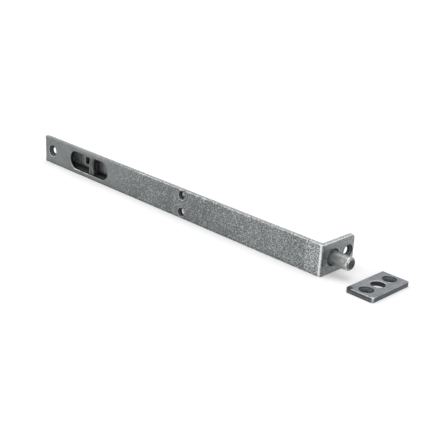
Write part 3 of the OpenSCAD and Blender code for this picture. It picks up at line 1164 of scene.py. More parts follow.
class Finish(Enum):
    """The finishes of the bolt's pieces."""

    PLATE = ForgedPewter()
    KEEP = DrawnSteel("keep_pewter", (0.200, 0.213, 0.228), (0.80, 0.815, 0.83), (0.040, 0.043, 0.047),
                      (5200.0, 160.0, 5200.0), metallic=0.78, rough=0.42, streaks=0.12, stain=0.2)
    NOSE = DrawnSteel("turned_steel", (0.175, 0.185, 0.18), (0.74, 0.75, 0.74), (0.055, 0.057, 0.055),
                      (5200.0, 260.0, 260.0), metallic=0.6, rough=0.36, streaks=0.22, stain=0.3)
    ROD = DrawnSteel("rod_steel", (0.33, 0.34, 0.34), (0.50, 0.51, 0.51), (0.15, 0.15, 0.15),
                     (190.0, 4600.0, 4600.0), rough=0.34, stain=0.4)
    SLIDE = DrawnSteel("blackened_slide", (0.19, 0.197, 0.20), (0.36, 0.37, 0.37), (0.03, 0.031, 0.032),
                       (170.0, 4200.0, 4200.0), metallic=0.5, rough=0.45, stain=0.25)
    BAR = DrawnSteel("finger_bar_steel", (0.030, 0.032, 0.033), (0.45, 0.46, 0.46), (0.014, 0.015, 0.016),
                     (2600.0, 2600.0, 210.0), metallic=0.7, rough=0.38, stain=0.6)
    PAN = DrawnSteel("blackened_sheet", (0.20, 0.208, 0.212), (0.62, 0.63, 0.635), (0.05, 0.052, 0.054),
                     (520.0, 520.0, 520.0), metallic=0.2, rough=0.55, line_depth=0.05, stain=0.15)
    SPRING = DrawnSteel("blued_spring", (0.10, 0.115, 0.145), (0.36, 0.38, 0.42), (0.04, 0.045, 0.06),
                        (150.0, 5200.0, 3600.0), rough=0.27, stain=0.5)
    RIVET = DrawnSteel("peened_rivet", (0.24, 0.245, 0.245), (0.50, 0.51, 0.51), (0.09, 0.09, 0.09),
                       (900.0, 900.0, 900.0), rough=0.38, line_depth=0.04, stain=0.6)
    WELD = DrawnSteel("weld_metal", (0.15, 0.152, 0.155), (0.40, 0.405, 0.41), (0.05, 0.045, 0.04),
                      (1400.0, 1400.0, 1400.0), metallic=0.8, rough=0.45, line_depth=0.05, stain=0.8)


class Shop:
    """Gives each finish's material, built once."""

    def __init__(self) -> None:
        """Builds every material."""
        effects = Effects()
        self.materials = {finish: finish.value.build(effects) for finish in Finish}

    def dress(self, piece: bpy.types.Object, finish: Finish, body: str, slot: str, *nodes: str) -> None:
        """Gives a piece its finish and its body, hides the CAD nodes that it stands for, and logs it.

        Args:
            piece: The piece's object.
            finish: Its finish.
            body: The CAD body that it rides on.
            slot: Not used.
            nodes: The CAD nodes that it replaces.
        """
        piece.data.materials.clear()
        piece.data.materials.append(self.materials[finish])
        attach(piece, body)
        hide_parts(*nodes)
        piece.data.calc_loop_triangles()
        log.info("%s rides on %s in %s, %d triangles", piece.name, body, finish.name.lower(),
                 len(piece.data.loop_triangles))


# Geometry Nodes


class GeometryRule:
    """A Geometry Nodes tree with named inputs, which ends in one plain mesh."""

    def __init__(self, name: str, inputs: Sequence[GroupSocket]) -> None:
        """Starts the tree.

        Args:
            name: The tree's name.
            inputs: Its inputs after the geometry that it works on.
        """
        self.tree = bpy.data.node_groups.new(name, "GeometryNodeTree")
        self.graph = Graph(self.tree)
        self.keys: dict[str, str] = {}
        self.tree.interface.new_socket("Geometry", in_out="INPUT", socket_type="NodeSocketGeometry")
        for socket in (*inputs, GroupSocket("Material", "NodeSocketMaterial")):
            made = self.tree.interface.new_socket(socket.name, in_out="INPUT", socket_type=socket.kind)
            if socket.default is not None:
                made.default_value = socket.default
            self.keys[socket.name] = made.identifier
        self.tree.interface.new_socket("Geometry", in_out="OUTPUT", socket_type="NodeSocketGeometry")
        self.given = self.graph.add("NodeGroupInput").outputs

    def close(self, instances: bpy.types.NodeSocket) -> None:
        """Ends the tree: instances are made real, shaded smooth and given their material.

        Args:
            instances: The output that holds the instances.
        """
        real = self.graph.add("GeometryNodeRealizeInstances", {"Geometry": instances})
        smooth = self.graph.add("GeometryNodeSetShadeSmooth", {0: real.outputs[0]})
        dressed = self.graph.add("GeometryNodeSetMaterial", {"Geometry": smooth.outputs[0],
                                                             "Material": self.given["Material"]})
        self.graph.add("NodeGroupOutput", {0: dressed.outputs[0]})

    def run(self, name: str, seed_mesh: bpy.types.Mesh, material: bpy.types.Material,
            **values: float) -> bpy.types.Object:
        """Runs the tree on a mesh and keeps the result as a plain mesh.

        Args:
            name: The new object's name.
            seed_mesh: The mesh whose points or edges the tree works on.
            material: The result's material.
            values: The tree's inputs by name, with spaces as underscores.

        Returns:
            The object, with no modifier.
        """
        piece = bpy.data.objects.new(name, seed_mesh)
        bpy.context.scene.collection.objects.link(piece)
        modifier = piece.modifiers.new("rule", "NODES")
        modifier.node_group = self.tree
        modifier[self.keys["Material"]] = material
        for key, value in values.items():
            modifier[self.keys[key.replace("_", " ")]] = value
        evaluated = piece.evaluated_get(bpy.context.evaluated_depsgraph_get())
        mesh = bpy.data.meshes.new_from_object(evaluated)
        piece.modifiers.remove(modifier)
        piece.data = mesh
        return piece


@dataclass(frozen=True)
class Rivet:
    """A rivet's sizes: the widths of its shank and of its heads, and how far the heads rise."""

    shank: float
    front_head: float
    front_rise: float
    back_head: float
    back_rise: float


class RivetRule(GeometryRule):
    """Sets a rivet with two peened heads, along +Y, on each point of a mesh."""

    SIDES = 32
    RINGS = 18
    FACETS = 1400.0
    FACET_DEPTH = 0.12
    FACET_START = 0.02

    def __init__(self) -> None:
        """Builds the tree."""
        super().__init__("rivets", (
            GroupSocket("Shank", default=2.5), GroupSocket("Grip", default=5.0),
            GroupSocket("Front Head", default=4.2), GroupSocket("Front Rise", default=0.9),
            GroupSocket("Back Head", default=3.6), GroupSocket("Back Rise", default=0.7)))
        graph = self.graph
        shank_size = {"Vertices": self.SIDES, "Radius": self._half("Shank"), "Depth": self._metres("Grip")}
        shank = graph.add("GeometryNodeMeshCylinder", shank_size).outputs["Mesh"]
        lift = graph.add("ShaderNodeCombineXYZ", {"Z": graph.times(self._metres("Grip"), 0.5)})
        middle = graph.add("GeometryNodeTransform", {"Geometry": shank, "Translation": lift.outputs[0]})
        over = graph.add("ShaderNodeCombineXYZ", {"Z": self._metres("Grip")}).outputs[0]
        front = graph.add("GeometryNodeTransform", {"Geometry": self._dome("Front Head", "Front Rise"),
                                                    "Rotation": (math.pi, 0.0, 0.0)})
        back = graph.add("GeometryNodeTransform", {"Geometry": self._dome("Back Head", "Back Rise"),
                                                   "Translation": over})
        join = graph.add("GeometryNodeJoinGeometry")
        for part in (middle, front, back):
            self.tree.links.new(part.outputs[0], join.inputs[0])
        points = graph.add("GeometryNodeMeshToPoints", {"Mesh": self.given["Geometry"]})
        stood = graph.add("GeometryNodeInstanceOnPoints", {
            "Points": points.outputs[0], "Instance": join.outputs[0],
            "Rotation": (-math.pi / 2, 0.0, 0.0)})
        self.close(stood.outputs[0])

    def _metres(self, key: str) -> bpy.types.NodeSocket:
        """Gives an input in metres."""
        return self.graph.times(self.given[key], MM)

    def _half(self, key: str) -> bpy.types.NodeSocket:
        """Gives half an input, in metres."""
        return self.graph.times(self.given[key], MM / 2)

    def _dome(self, across: str, rise: str) -> bpy.types.NodeSocket:
        """Builds a peened head on z = 0: a ball pressed flat, with hammer facets.

        Args:
            across: The input that holds the head's diameter.
            rise: The input that holds its rise.

        Returns:
            The head's mesh, whose lower half is closed inside the work.
        """
        graph = self.graph
        ball_size = {"Segments": self.SIDES, "Rings": self.RINGS, "Radius": 1.0}
        ball = graph.add("GeometryNodeMeshUVSphere", ball_size).outputs["Mesh"]
        size = graph.add("ShaderNodeCombineXYZ", {
            "X": self._half(across), "Y": self._half(across), "Z": self._metres(rise)})
        pressed = graph.add("GeometryNodeTransform", {"Geometry": ball, "Scale": size.outputs[0]})
        spot = graph.add("GeometryNodeInputPosition").outputs[0]
        noise_inputs = {"Vector": spot, "Scale": self.FACETS, "Detail": 1.0}
        facets = graph.add("ShaderNodeTexNoise", noise_inputs).outputs[0]
        push = {0: graph.add("GeometryNodeInputNormal").outputs[0],
                "Scale": graph.sway(facets, self.FACET_DEPTH * MM)}
        way = graph.add("ShaderNodeVectorMath", push, operation="SCALE")
        height = graph.add("ShaderNodeSeparateXYZ", {0: spot}).outputs["Z"]
        hammered = graph.add("GeometryNodeSetPosition", {
            "Geometry": pressed.outputs[0], "Offset": way.outputs[0],
            "Selection": graph.math("GREATER_THAN", height, self.FACET_START * MM)})
        return hammered.outputs[0]

    def set(self, name: str, node: str, places: Sequence[tuple[float, float]], rivet: Rivet,
            material: bpy.types.Material) -> bpy.types.Object:
        """Sets rivets as deep as a CAD node.

        Args:
            name: The new object's name.
            node: The CAD node that the rivets stand for.
            places: Where they stand, along X and Z.
            rivet: Their sizes.
            material: Their material.

        Returns:
            The rivets as one object.
        """
        start, end = span(node, Axis.Y)
        seeds = seed_mesh(name, [(x, start + rivet.front_rise, z) for x, z in places])
        return self.run(name, seeds, material, Shank=rivet.shank,
                        Grip=end - start - rivet.front_rise - rivet.back_rise,
                        Front_Head=rivet.front_head, Front_Rise=rivet.front_rise,
                        Back_Head=rivet.back_head, Back_Rise=rivet.back_rise)


class BeadRule(GeometryRule):
    """Runs a weld bead of overlapping ripples along each edge of a mesh."""

    LEG = 0.6
    RIPPLE = 0.5
    LEAST_SIZE = 0.86
    MOST_SIZE = 1.04
    MOST_TURN = 0.5
    ROUNDNESS = 3

    def __init__(self) -> None:
        """Builds the tree."""
        super().__init__("weld_beads", (
            GroupSocket("Leg", default=self.LEG), GroupSocket("Ripple", default=self.RIPPLE),
            GroupSocket("Seed", "NodeSocketInt")))
        graph = self.graph
        line = graph.add("GeometryNodeMeshToCurve", {"Mesh": self.given["Geometry"]}).outputs[0]
        pitch = graph.times(self.given["Ripple"], MM)
        stepped = graph.add("GeometryNodeResampleCurve", {"Curve": line, "Length": pitch}, mode="LENGTH")
        blob = graph.add("GeometryNodeMeshIcoSphere", {
            "Radius": graph.times(self.given["Leg"], MM), "Subdivisions": self.ROUNDNESS})
        laid = graph.add("GeometryNodeInstanceOnPoints", {
            "Points": stepped.outputs[0], "Instance": blob.outputs[0],
            "Scale": self._drawn_by_lot(self.LEAST_SIZE, self.MOST_SIZE),
            "Rotation": self._drawn_by_lot(0.0, self.MOST_TURN)})
        self.close(laid.outputs[0])

    def _drawn_by_lot(self, least: float, most: float) -> bpy.types.NodeSocket:
        """Gives a seeded random vector for each ripple, with each part between two values."""
        inputs = {"Min": (least,) * 3, "Max": (most,) * 3, "Seed": self.given["Seed"]}
        return self.graph.add("FunctionNodeRandomValue", inputs, data_type="FLOAT_VECTOR").outputs[0]

    def lay(self, name: str, ends: Sequence[Point], seed: int,
            material: bpy.types.Material) -> bpy.types.Object:
        """Lays a bead between each two ends.

        Args:
            name: The new object's name.
            ends: The beads' ends, two for each bead, in millimetres.
            seed: The seed of the ripples' sizes and turns.
            material: The beads' material.

        Returns:
            The beads as one object.
        """
        pairs = [(k, k + 1) for k in range(0, len(ends), 2)]
        return self.run(name, seed_mesh(name, ends, pairs), material, Leg=self.LEG, Ripple=self.RIPPLE,
                        Seed=seed)


def seed_mesh(name: str, points: Sequence[Point], edges: Sequence[tuple[int, int]] = ()) -> bpy.types.Mesh:
    """Makes the points and edges that a rule works on.

    Args:
        name: The mesh's name.
        points: The points, in millimetres.
        edges: The edges as pairs of points.

    Returns:
        The mesh.
    """
    mesh = bpy.data.meshes.new(name)
    mesh.from_pydata([Vector(point) * MM for point in points], list(edges), [])
    return mesh


# Sub-assemblies


@dataclass(frozen=True)
class Unevenness:
    """An uneven surface: the size of its hollows and how high it stands."""

    size: float
    height: float

    def at(self, spot: Vector, shift: Vector = Vector()) -> float:
        """Gives its height at a spot, with the noise shifted."""
        return self.height * noise.noise(spot / self.size + shift)


@dataclass
class FacePlate:
    """The bar that is pierced, forged and bent: the long plate and its flange."""

    thickness: float = 2.5
    bend_outer: float = 2.0
    bend_inner: float = 1.5
    edge_round: float = 0.7
    land: float = 0.42
    end_round: float = 1.25
    end_corner: float = 1.5
    flange_corner: float = 2.2
    slot_from_end: float = 50.0
    slot_length: float = 41.0
    slot_height: float = 12.5
    slot_chamfer: float = 0.3
    screw_hole: float = 4.2
    screw_sink: float = 8.6
    end_inset: float = 8.8
    flange_inset: float = 4.9
    pair_from_flange: float = 111.0
    pair_height: float = 5.55
    pair_hole: float = 3.4
    pair_sink: float = 6.0
    axis_depth: float = 10.3
    bolt_hole: float = 8.5
    mouth_lead: float = 0.45
    pitch: float = 0.62
    back_pitch: float = 2.2
    dense_before: float = 1.0
    dense_after: float = 2.0
    relief_cut: float = 3.1
    swell: Unevenness = Unevenness(8.5, 0.05)
    dents: Unevenness = Unevenness(2.4, 0.05)
    grain: Unevenness = Unevenness(1.15, 0.035)
    dent_shift: Vector = Vector((9, 4, 0))
    struck_relief: float = 0.9
    flange_calm: float = 0.6
    ring_pitch: float = 1.25
    ring_height: float = 0.03
    # Painted highlight along the bend's crown, with its wear
    bend_rub_and_highlight: float = 0.85
    outer_side: float = 0.85
    slot_wear: tuple[float, float] = (0.28, 0.58)
    slot_wear_reach: tuple[float, float] = (6.0, 34.0)
    milled_band: tuple[float, float, float, float] = (5.2, 5.8, 7.5, 10.5)
    milled_top: float = 1.0
    milled_right: float = 3.0
    edge_cut: float = 8.5
    edge_sway: Unevenness = Unevenness(5.0, 0.16)
    # Wear and painted highlight along the upper edges, painted light on the upper wall, painted shade on the
    # lower wall
    upper_wear_and_highlight: float = 0.16
    upper_highlight_gain: float = 0.36
    upper_highlight_run: tuple[float, float] = (66.0, 112.0)
    flange_wear_and_highlight: float = 0.2
    far_wear: float = 0.3
    wall_wear_and_light: float = 0.5
    wall_shade: float = 0.3
    slot_forging: float = 0.24
    forging_run: tuple[float, float] = (62.0, 110.0)
    struck_run: float = 11.0
    light_run: tuple[float, float] = (-95.0, -35.0)
    # Painted shade on the flange beside the bend, round the bolt's hole and along the face's foot; a dark
    # blotch on the flange's upper corner
    band_shade: float = 0.4
    arc_shade: float = 0.5
    blotch_dark: float = 0.35
    ring_shade: float = 0.95
    foot_shade: float = 0.34
    flange_grain: float = 0.5
    flange_blows: float = 0.35
    light_blows: float = 0.28

    def __post_init__(self) -> None:
        """Measures the CAD plate and works out where its flat pattern bends."""
        low_x, high_x = span("face_plate", Axis.X)
        low_y, high_y = span("face_plate", Axis.Y)
        low_z, high_z = span("face_plate", Axis.Z)
        self.length = high_x - low_x
        self.depth = high_y - low_y
        self.face_y = low_y
        self.half = (high_z - low_z) / 2
        self.corner = self.thickness + self.bend_inner
        self.straight = self.length - self.corner
        self.run_in = self.corner - self.bend_outer
        self.arc = self.bend_outer * math.pi / 2
        self.bend_end = self.straight + 2 * self.run_in + self.arc
        self.total = self.bend_end + self.depth - self.corner

    def place(self, along: float, across: float, depth: float) -> Vector:
        """Bends a point of the flat pattern into the row frame.

        Args:
            along: Its distance from the free end over the front face.
            across: Its height over the plate's middle.
            depth: Its depth below the front face.

        Returns:
            The point in the row frame.
        """
        if along <= self.straight:
            return Vector((along - self.length, self.face_y + depth, across))
        if along >= self.bend_end:
            return Vector((-depth, self.face_y + self.corner + along - self.bend_end, across))
        gone = along - self.straight
        turn = min(max((gone - self.run_in) / self.bend_outer, 0), math.pi / 2)
        outer = Vector((self.bend_outer * (math.sin(turn) - 1), self.bend_outer * (1 - math.cos(turn))))
        outer.x -= max(self.run_in - gone, 0)
        outer.y += max(gone - self.run_in - self.arc, 0)
        share = gone / (self.bend_end - self.straight) * math.pi / 2
        inner = Vector((self.bend_inner * math.sin(share) - self.corner,
                        self.corner - self.bend_inner * math.cos(share)))
        spot = outer.lerp(inner, depth / self.thickness)
        return Vector((spot.x, self.face_y + spot.y, across))

    def relief(self, along: float, across: float) -> float:
        """Gives how far the forged face stands proud of flat at a spot.

        Args:
            along: The spot's distance from the free end.
            across: Its height over the plate's middle.

        Returns:
            The height in millimetres.
        """
        spot = Vector((along, across, self.relief_cut))
        struck = 1 + self.struck_relief * smooth_step(self.straight - 16, self.straight, along)
        struck *= 1 - self.flange_calm * smooth_step(self.bend_end - 4, self.bend_end, along)
        broad = self.swell.at(spot)
        dents = self.dents.at(spot, self.dent_shift)
        grain = self.grain.at(spot)
        away = (Vector((along, across)) - self._bolt_spot()).length
        rise, level, fall, end = self.milled_band
        milled = smooth_step(rise, level, away) * smooth_fall(fall, end, away)
        if across > self.milled_top or along > self._bolt_spot().x + self.milled_right:
            milled = 0
        rings = self.ring_height * milled * math.cos(2 * math.pi * away / self.ring_pitch)
        return broad + struck * (dents + grain) + rings

    def _bolt_spot(self) -> Vector:
        """Gives where the bolt's hole lies in the flat pattern."""
        return Vector((self.bend_end + self.axis_depth - self.corner, 0))

    def _slot_wear(self, spot: Vector) -> float:
        """Gives the wear of the slot's rim, which the finger rubs most at the lower left.

        Args:
            spot: The spot, in the flat.

        Returns:
            The wear, from 0 to 1.
        """
        away = Vector((spot.x - self.slot_from_end + self.slot_length / 2, spot.y + self.slot_height / 2))
        least, most = self.slot_wear
        low = smooth_fall(2.0, self.slot_height, spot.y + self.slot_height / 2)
        return least + (most - least) * low * smooth_fall(*self.slot_wear_reach, away.length)

    def _edge(self, spot: Vector) -> Edge:
        """Gives the outline's edge at a spot: fuller at the free end, rubbed and with a painted highlight
        along the upper edge, with painted light on the upper wall and painted shade on the lower wall.

        Args:
            spot: The spot, in the flat.

        Returns:
            The edge.
        """
        near_end = smooth_fall(0.2, 2.6, spot.x)
        inner = smooth_fall(self.half - 3.2, self.half - 1.2, abs(spot.y))
        uneven = 1 + self.edge_sway.at(Vector((spot.x, spot.y, self.edge_cut)))
        radius = self.edge_round + (self.end_round - self.edge_round) * near_end * inner
        far_end = smooth_step(self.total - 1, self.total - 0.3, spot.x)
        radius -= (self.edge_round - self.land) * far_end * inner
        upper = smooth_step(self.half - 3, self.half - 1, spot.y)
        lower = smooth_step(self.half - 3, self.half - 1, -spot.y)
        flange = smooth_step(self.straight, self.bend_end, spot.x)
        along = self.upper_highlight_gain * smooth_step(*self.upper_highlight_run, spot.x)
        wear = upper * (self.upper_wear_and_highlight + along + self.flange_wear_and_highlight * flange)
        return Edge(radius * uneven, max(wear, self.far_wear * far_end), self.wall_wear_and_light * upper,
                    self.wall_shade * lower)

    def build(self, shop: Shop) -> None:
        """Builds the plate and gives it its finish.

        Args:
            shop: What gives a piece its finish.
        """
        thick = self.thickness
        end = self.end_corner
        far = self.flange_corner
        outline = rectangle(Vector((0, -self.half)), Vector((self.total, self.half)),
                            (end, far, far, end), self.pitch, True)
        screw = screw_rim(self.screw_hole, self.screw_sink, thick, all_round(RIM_WEAR))
        pair = screw_rim(self.pair_hole, self.pair_sink, thick, all_round(RIM_WEAR))
        pair_x = self.length - self.pair_from_flange
        flange_x = self.total - self.flange_inset
        slot_run = (self.slot_length - self.slot_height) / 2
        holes = [
            (obround(Vector((self.slot_from_end, 0)), slot_run, self.slot_height / 2, self.pitch),
             chamfer_rim(self.slot_chamfer, thick, self._slot_wear)),
            (round_hole(Vector((self.end_inset, 0)), self.screw_hole, self.pitch), screw),
            (round_hole(Vector((flange_x, 0)), self.screw_hole, self.pitch), screw),
            # The bolt's hole is darkened at its mouth as painted shade of the gap round the nose
            (round_hole(self._bolt_spot(), self.bolt_hole, self.pitch),
             chamfer_rim(self.mouth_lead, thick, all_round(0.0), 1.0)),
        ]
        for side in (-1, 1):
            centre = Vector((pair_x, side * self.pair_height))
            holes.append((round_hole(centre, self.pair_hole, self.pitch), pair))
        rim = outer_rim(self._edge, thick)
        dense = (self.straight - self.dense_before, self.bend_end + self.dense_after)
        plate = FlatWork("forged_plate", (outline, rim), holes, thick, self.pitch, self.back_pitch,
                         self.place, self.relief, dense)
        piece = plate.build()
        # The marks add a painted highlight on the bend, painted shade on the flange and the face's foot,
        # hammer marks and forged grain
        for mark, spread in ((WEAR_AND_HIGHLIGHT, self._bend_wear_and_highlight), (PATINA_AND_SHADE, self._painted_shade),
                             (STRUCK, self._blows), (FORGING, self._forging)):
            mark_by_place(piece, mark, spread)
        shop.dress(piece, Finish.PLATE, "plate", "pewter_plate", "face_plate")

    def _turn(self, spot: Vector) -> float:
        """Gives how far round the bend a spot lies: below 0 on the face and over 1 on the flange."""
        away = Vector((spot.x, spot.y)) - Vector((-self.bend_outer, self.face_y + self.bend_outer))
        return math.atan2(away.x, -away.y) / (math.pi / 2)

    def _bend_wear_and_highlight(self, spot: Vector) -> float:
        """Gives the wear of the bend's crown, which takes the blows, and a painted highlight along it.

        Args:
            spot: The spot, in the row frame.

        Returns:
            The wear with the painted highlight, from 0 to 1.
        """
        turn = self._turn(spot)
        out = math.hypot(spot.x + self.bend_outer, spot.y - self.face_y - self.bend_outer)
        if out < self.outer_side * self.bend_outer:
            return 0.0
        return self.bend_rub_and_highlight * smooth_step(-0.06, 0.1, turn) * smooth_fall(0.32, 0.5, turn)

    def _blows(self, spot: Vector) -> float:
        """Gives the depth of the hammer marks on the face beside the bend.

        Args:
            spot: The spot, in the row frame.

        Returns:
            The depth, from 0 to 1.
        """
        turn = self._turn(spot)
        if turn > 0.5:
            return self.flange_blows * smooth_step(0.9, 1.1, turn)
        face = smooth_fall(self.face_y + 0.8, self.face_y + 1.6, spot.y)
        light = self.light_blows * smooth_step(*self.light_run, spot.x)
        return face * max(light, smooth_step(-self.struck_run - 1.5, -self.struck_run, spot.x))

    def _forging(self, spot: Vector) -> float:
        """Gives the depth of the forged grain: shallow by the slot and on the flange.

        Args:
            spot: The spot, in the row frame.

        Returns:
            The depth, from 0 to 1.
        """
        start, end = self.forging_run
        deeper = smooth_step(start - self.length, end - self.length, spot.x)
        along = self.slot_forging + (1 - self.slot_forging) * deeper
        flange = smooth_step(-self.bend_outer, -0.5, spot.x)
        return along * (1 - flange) + self.flange_grain * flange

    def _painted_shade(self, spot: Vector) -> float:
        """Gives painted shade along the face's lower edge and, on the flange, at the bend and round the
        bolt's hole, with a dark blotch at the flange's upper corner.

        Args:
            spot: The spot, in the row frame.

        Returns:
            The painted shade and the blotch, from 0 to 1.
        """
        turn = self._turn(spot)
        if turn < 0.4:
            face = smooth_fall(self.face_y + 0.6, self.face_y + 1, spot.y)
            return self.foot_shade * face * smooth_fall(0.8, 3.0, self.half + spot.z)
        back = spot.y - self.face_y
        level = smooth_step(-5.5, -2.5, spot.z) * smooth_fall(4.5, 7.5, spot.z)
        bent = smooth_step(0.42, 0.6, turn) * (0.3 + 0.7 * level)
        band = bent * smooth_fall(3.0, 6.0, back)
        arc = bent * smooth_fall(1.4, 2.4, back)
        corner = Vector((0, self.face_y + 7.5, self.half - 4.5))
        blotch = smooth_fall(0.8, 2.4, (spot - corner).length)
        ring = smooth_fall(0.6, 1.3, math.hypot(spot.y, spot.z) - self.bolt_hole / 2)
        return max(self.band_shade * band, self.arc_shade * arc, self.blotch_dark * blotch,
                   self.ring_shade * ring)


@dataclass
class KeepPlate:
    """The loose plate that is let into the frame, with its two screw holes."""

    corner: float = 1.0
    edge: float = 0.4
    hole: float = 8.4
    hole_chamfer: float = 0.2
    screw_hole: float = 4.2
    screw_sink: float = 8.6
    hole_inset: float = 6.0
    # Painted glints on the screw holes' near rims, towards the front right
    glint_way: Vector = Vector((0.54, -0.84))
    # Painted highlights on the near edges and the front right corner, painted shade on the walls
    near_highlight: float = 0.5
    right_highlight: float = 0.9
    corner_wall_highlight: float = 0.6
    wall_shade: float = 0.78
    patch_dark: float = 0.9
    rim_wear: float = 0.3
    pitch: float = 0.62
    back_pitch: float = 1.6
    relief_cut: float = 7.7
    swell: Unevenness = Unevenness(6.0, 0.03)
    grain: Unevenness = Unevenness(1.8, 0.012)

    def __post_init__(self) -> None:
        """Measures the CAD keep plate."""
        self.left, self.right = span("keep_plate", Axis.X)
        self.front, self.back = span("keep_plate", Axis.Y)
        self.under, self.top = span("keep_plate", Axis.Z)

    def place(self, along: float, across: float, depth: float) -> Vector:
        """Sets a point of the flat plate into the row frame, face up."""
        return Vector((along, across, self.top - depth))

    def relief(self, along: float, across: float) -> float:
        """Gives how far the upper face stands proud of flat at a spot."""
        spot = Vector((along, across, self.relief_cut))
        return self.swell.at(spot) + self.grain.at(spot)

    def _edge(self, spot: Vector) -> Edge:
        """Gives the edge at a spot: a painted highlight at the front right corner and along the near edges,
        and painted shade on the other walls.

        Args:
            spot: The spot, in the flat.

        Returns:
            The edge.
        """
        corner = Vector((self.right, self.front))
        away = smooth_step(0.3, 1.5, (spot - corner).length)
        near = max(smooth_fall(1.0, 3.0, spot.x - self.left),
                   smooth_fall(1.0, 3.0, spot.y - self.front),
                   self.right_highlight * smooth_fall(0.3, 1.0, self.right - spot.x))
        return Edge(self.edge, 1 - away * (1 - self.near_highlight * near), self.corner_wall_highlight * (1 - away),
                    self.wall_shade * away)

    def _corner_patch(self, spot: Vector) -> float:
        """Gives the dark patch on the upper face at the left front corner."""
        corner = Vector((self.left + 1.9, self.front + 1.0, self.top))
        return self.patch_dark * smooth_fall(1.0, 2.6, (spot - corner).length)

    def _painted_glint(self, spot: Vector, glint: Vector) -> float:
        """Gives a painted glint on a screw hole's near rim."""
        away = math.hypot(spot.x - glint.x, spot.y - glint.y)
        return smooth_fall(0.45, 1.0, away) * smooth_step(self.top - 0.6, self.top - 0.4, spot.z)

    def build(self, shop: Shop) -> None:
        """Builds the keep plate and gives it its finish.

        Args:
            shop: What gives a piece its finish.
        """
        thick = self.top - self.under
        middle = Vector(((self.left + self.right) / 2, (self.front + self.back) / 2))
        outline = rectangle(Vector((self.left, self.front)), Vector((self.right, self.back)),
                            (self.corner,) * 4, self.pitch, True)
        reach = Vector((0, (self.back - self.front) / 2 - self.hole_inset))

        def rim_wear_and_glint(spot: Vector) -> float:
            """Gives the wear of a screw hole's rim, with a painted glint on the side towards the front right.

            Args:
                spot: The spot, in the flat.

            Returns:
                The wear with the glint, from 0 to 1.
            """
            away = spot - middle
            away -= reach if away.y > 0 else -reach
            glint = smooth_step(0.82, 0.96, away.normalized().dot(self.glint_way))
            return self.rim_wear + (1 - self.rim_wear) * glint

        screw = screw_rim(self.screw_hole, self.screw_sink, thick, rim_wear_and_glint)
        holes = [(round_hole(middle + reach * side, self.screw_hole, self.pitch), screw) for side in (-1, 1)]
        holes.append((round_hole(middle, self.hole, self.pitch),
                      chamfer_rim(self.hole_chamfer, thick, all_round(RIM_WEAR))))
        rim = outer_rim(self._edge, thick)
        plate = FlatWork("keep", (outline, rim), holes, thick, self.pitch, self.back_pitch,
                         self.place, self.relief)
        piece = plate.build()
        mark_by_place(piece, PATINA_AND_SHADE, self._corner_patch)
        # Painted glints on the screw holes' near rims
        glint_spots = [middle + reach * side + self.glint_way * self.screw_sink / 2 for side in (-1, 1)]
        mark_by_place(piece, WEAR_AND_HIGHLIGHT, lambda spot: max(self._painted_glint(spot, glint) for glint in glint_spots))
        shop.dress(piece, Finish.KEEP, "keep", "keep_steel", "keep_plate")


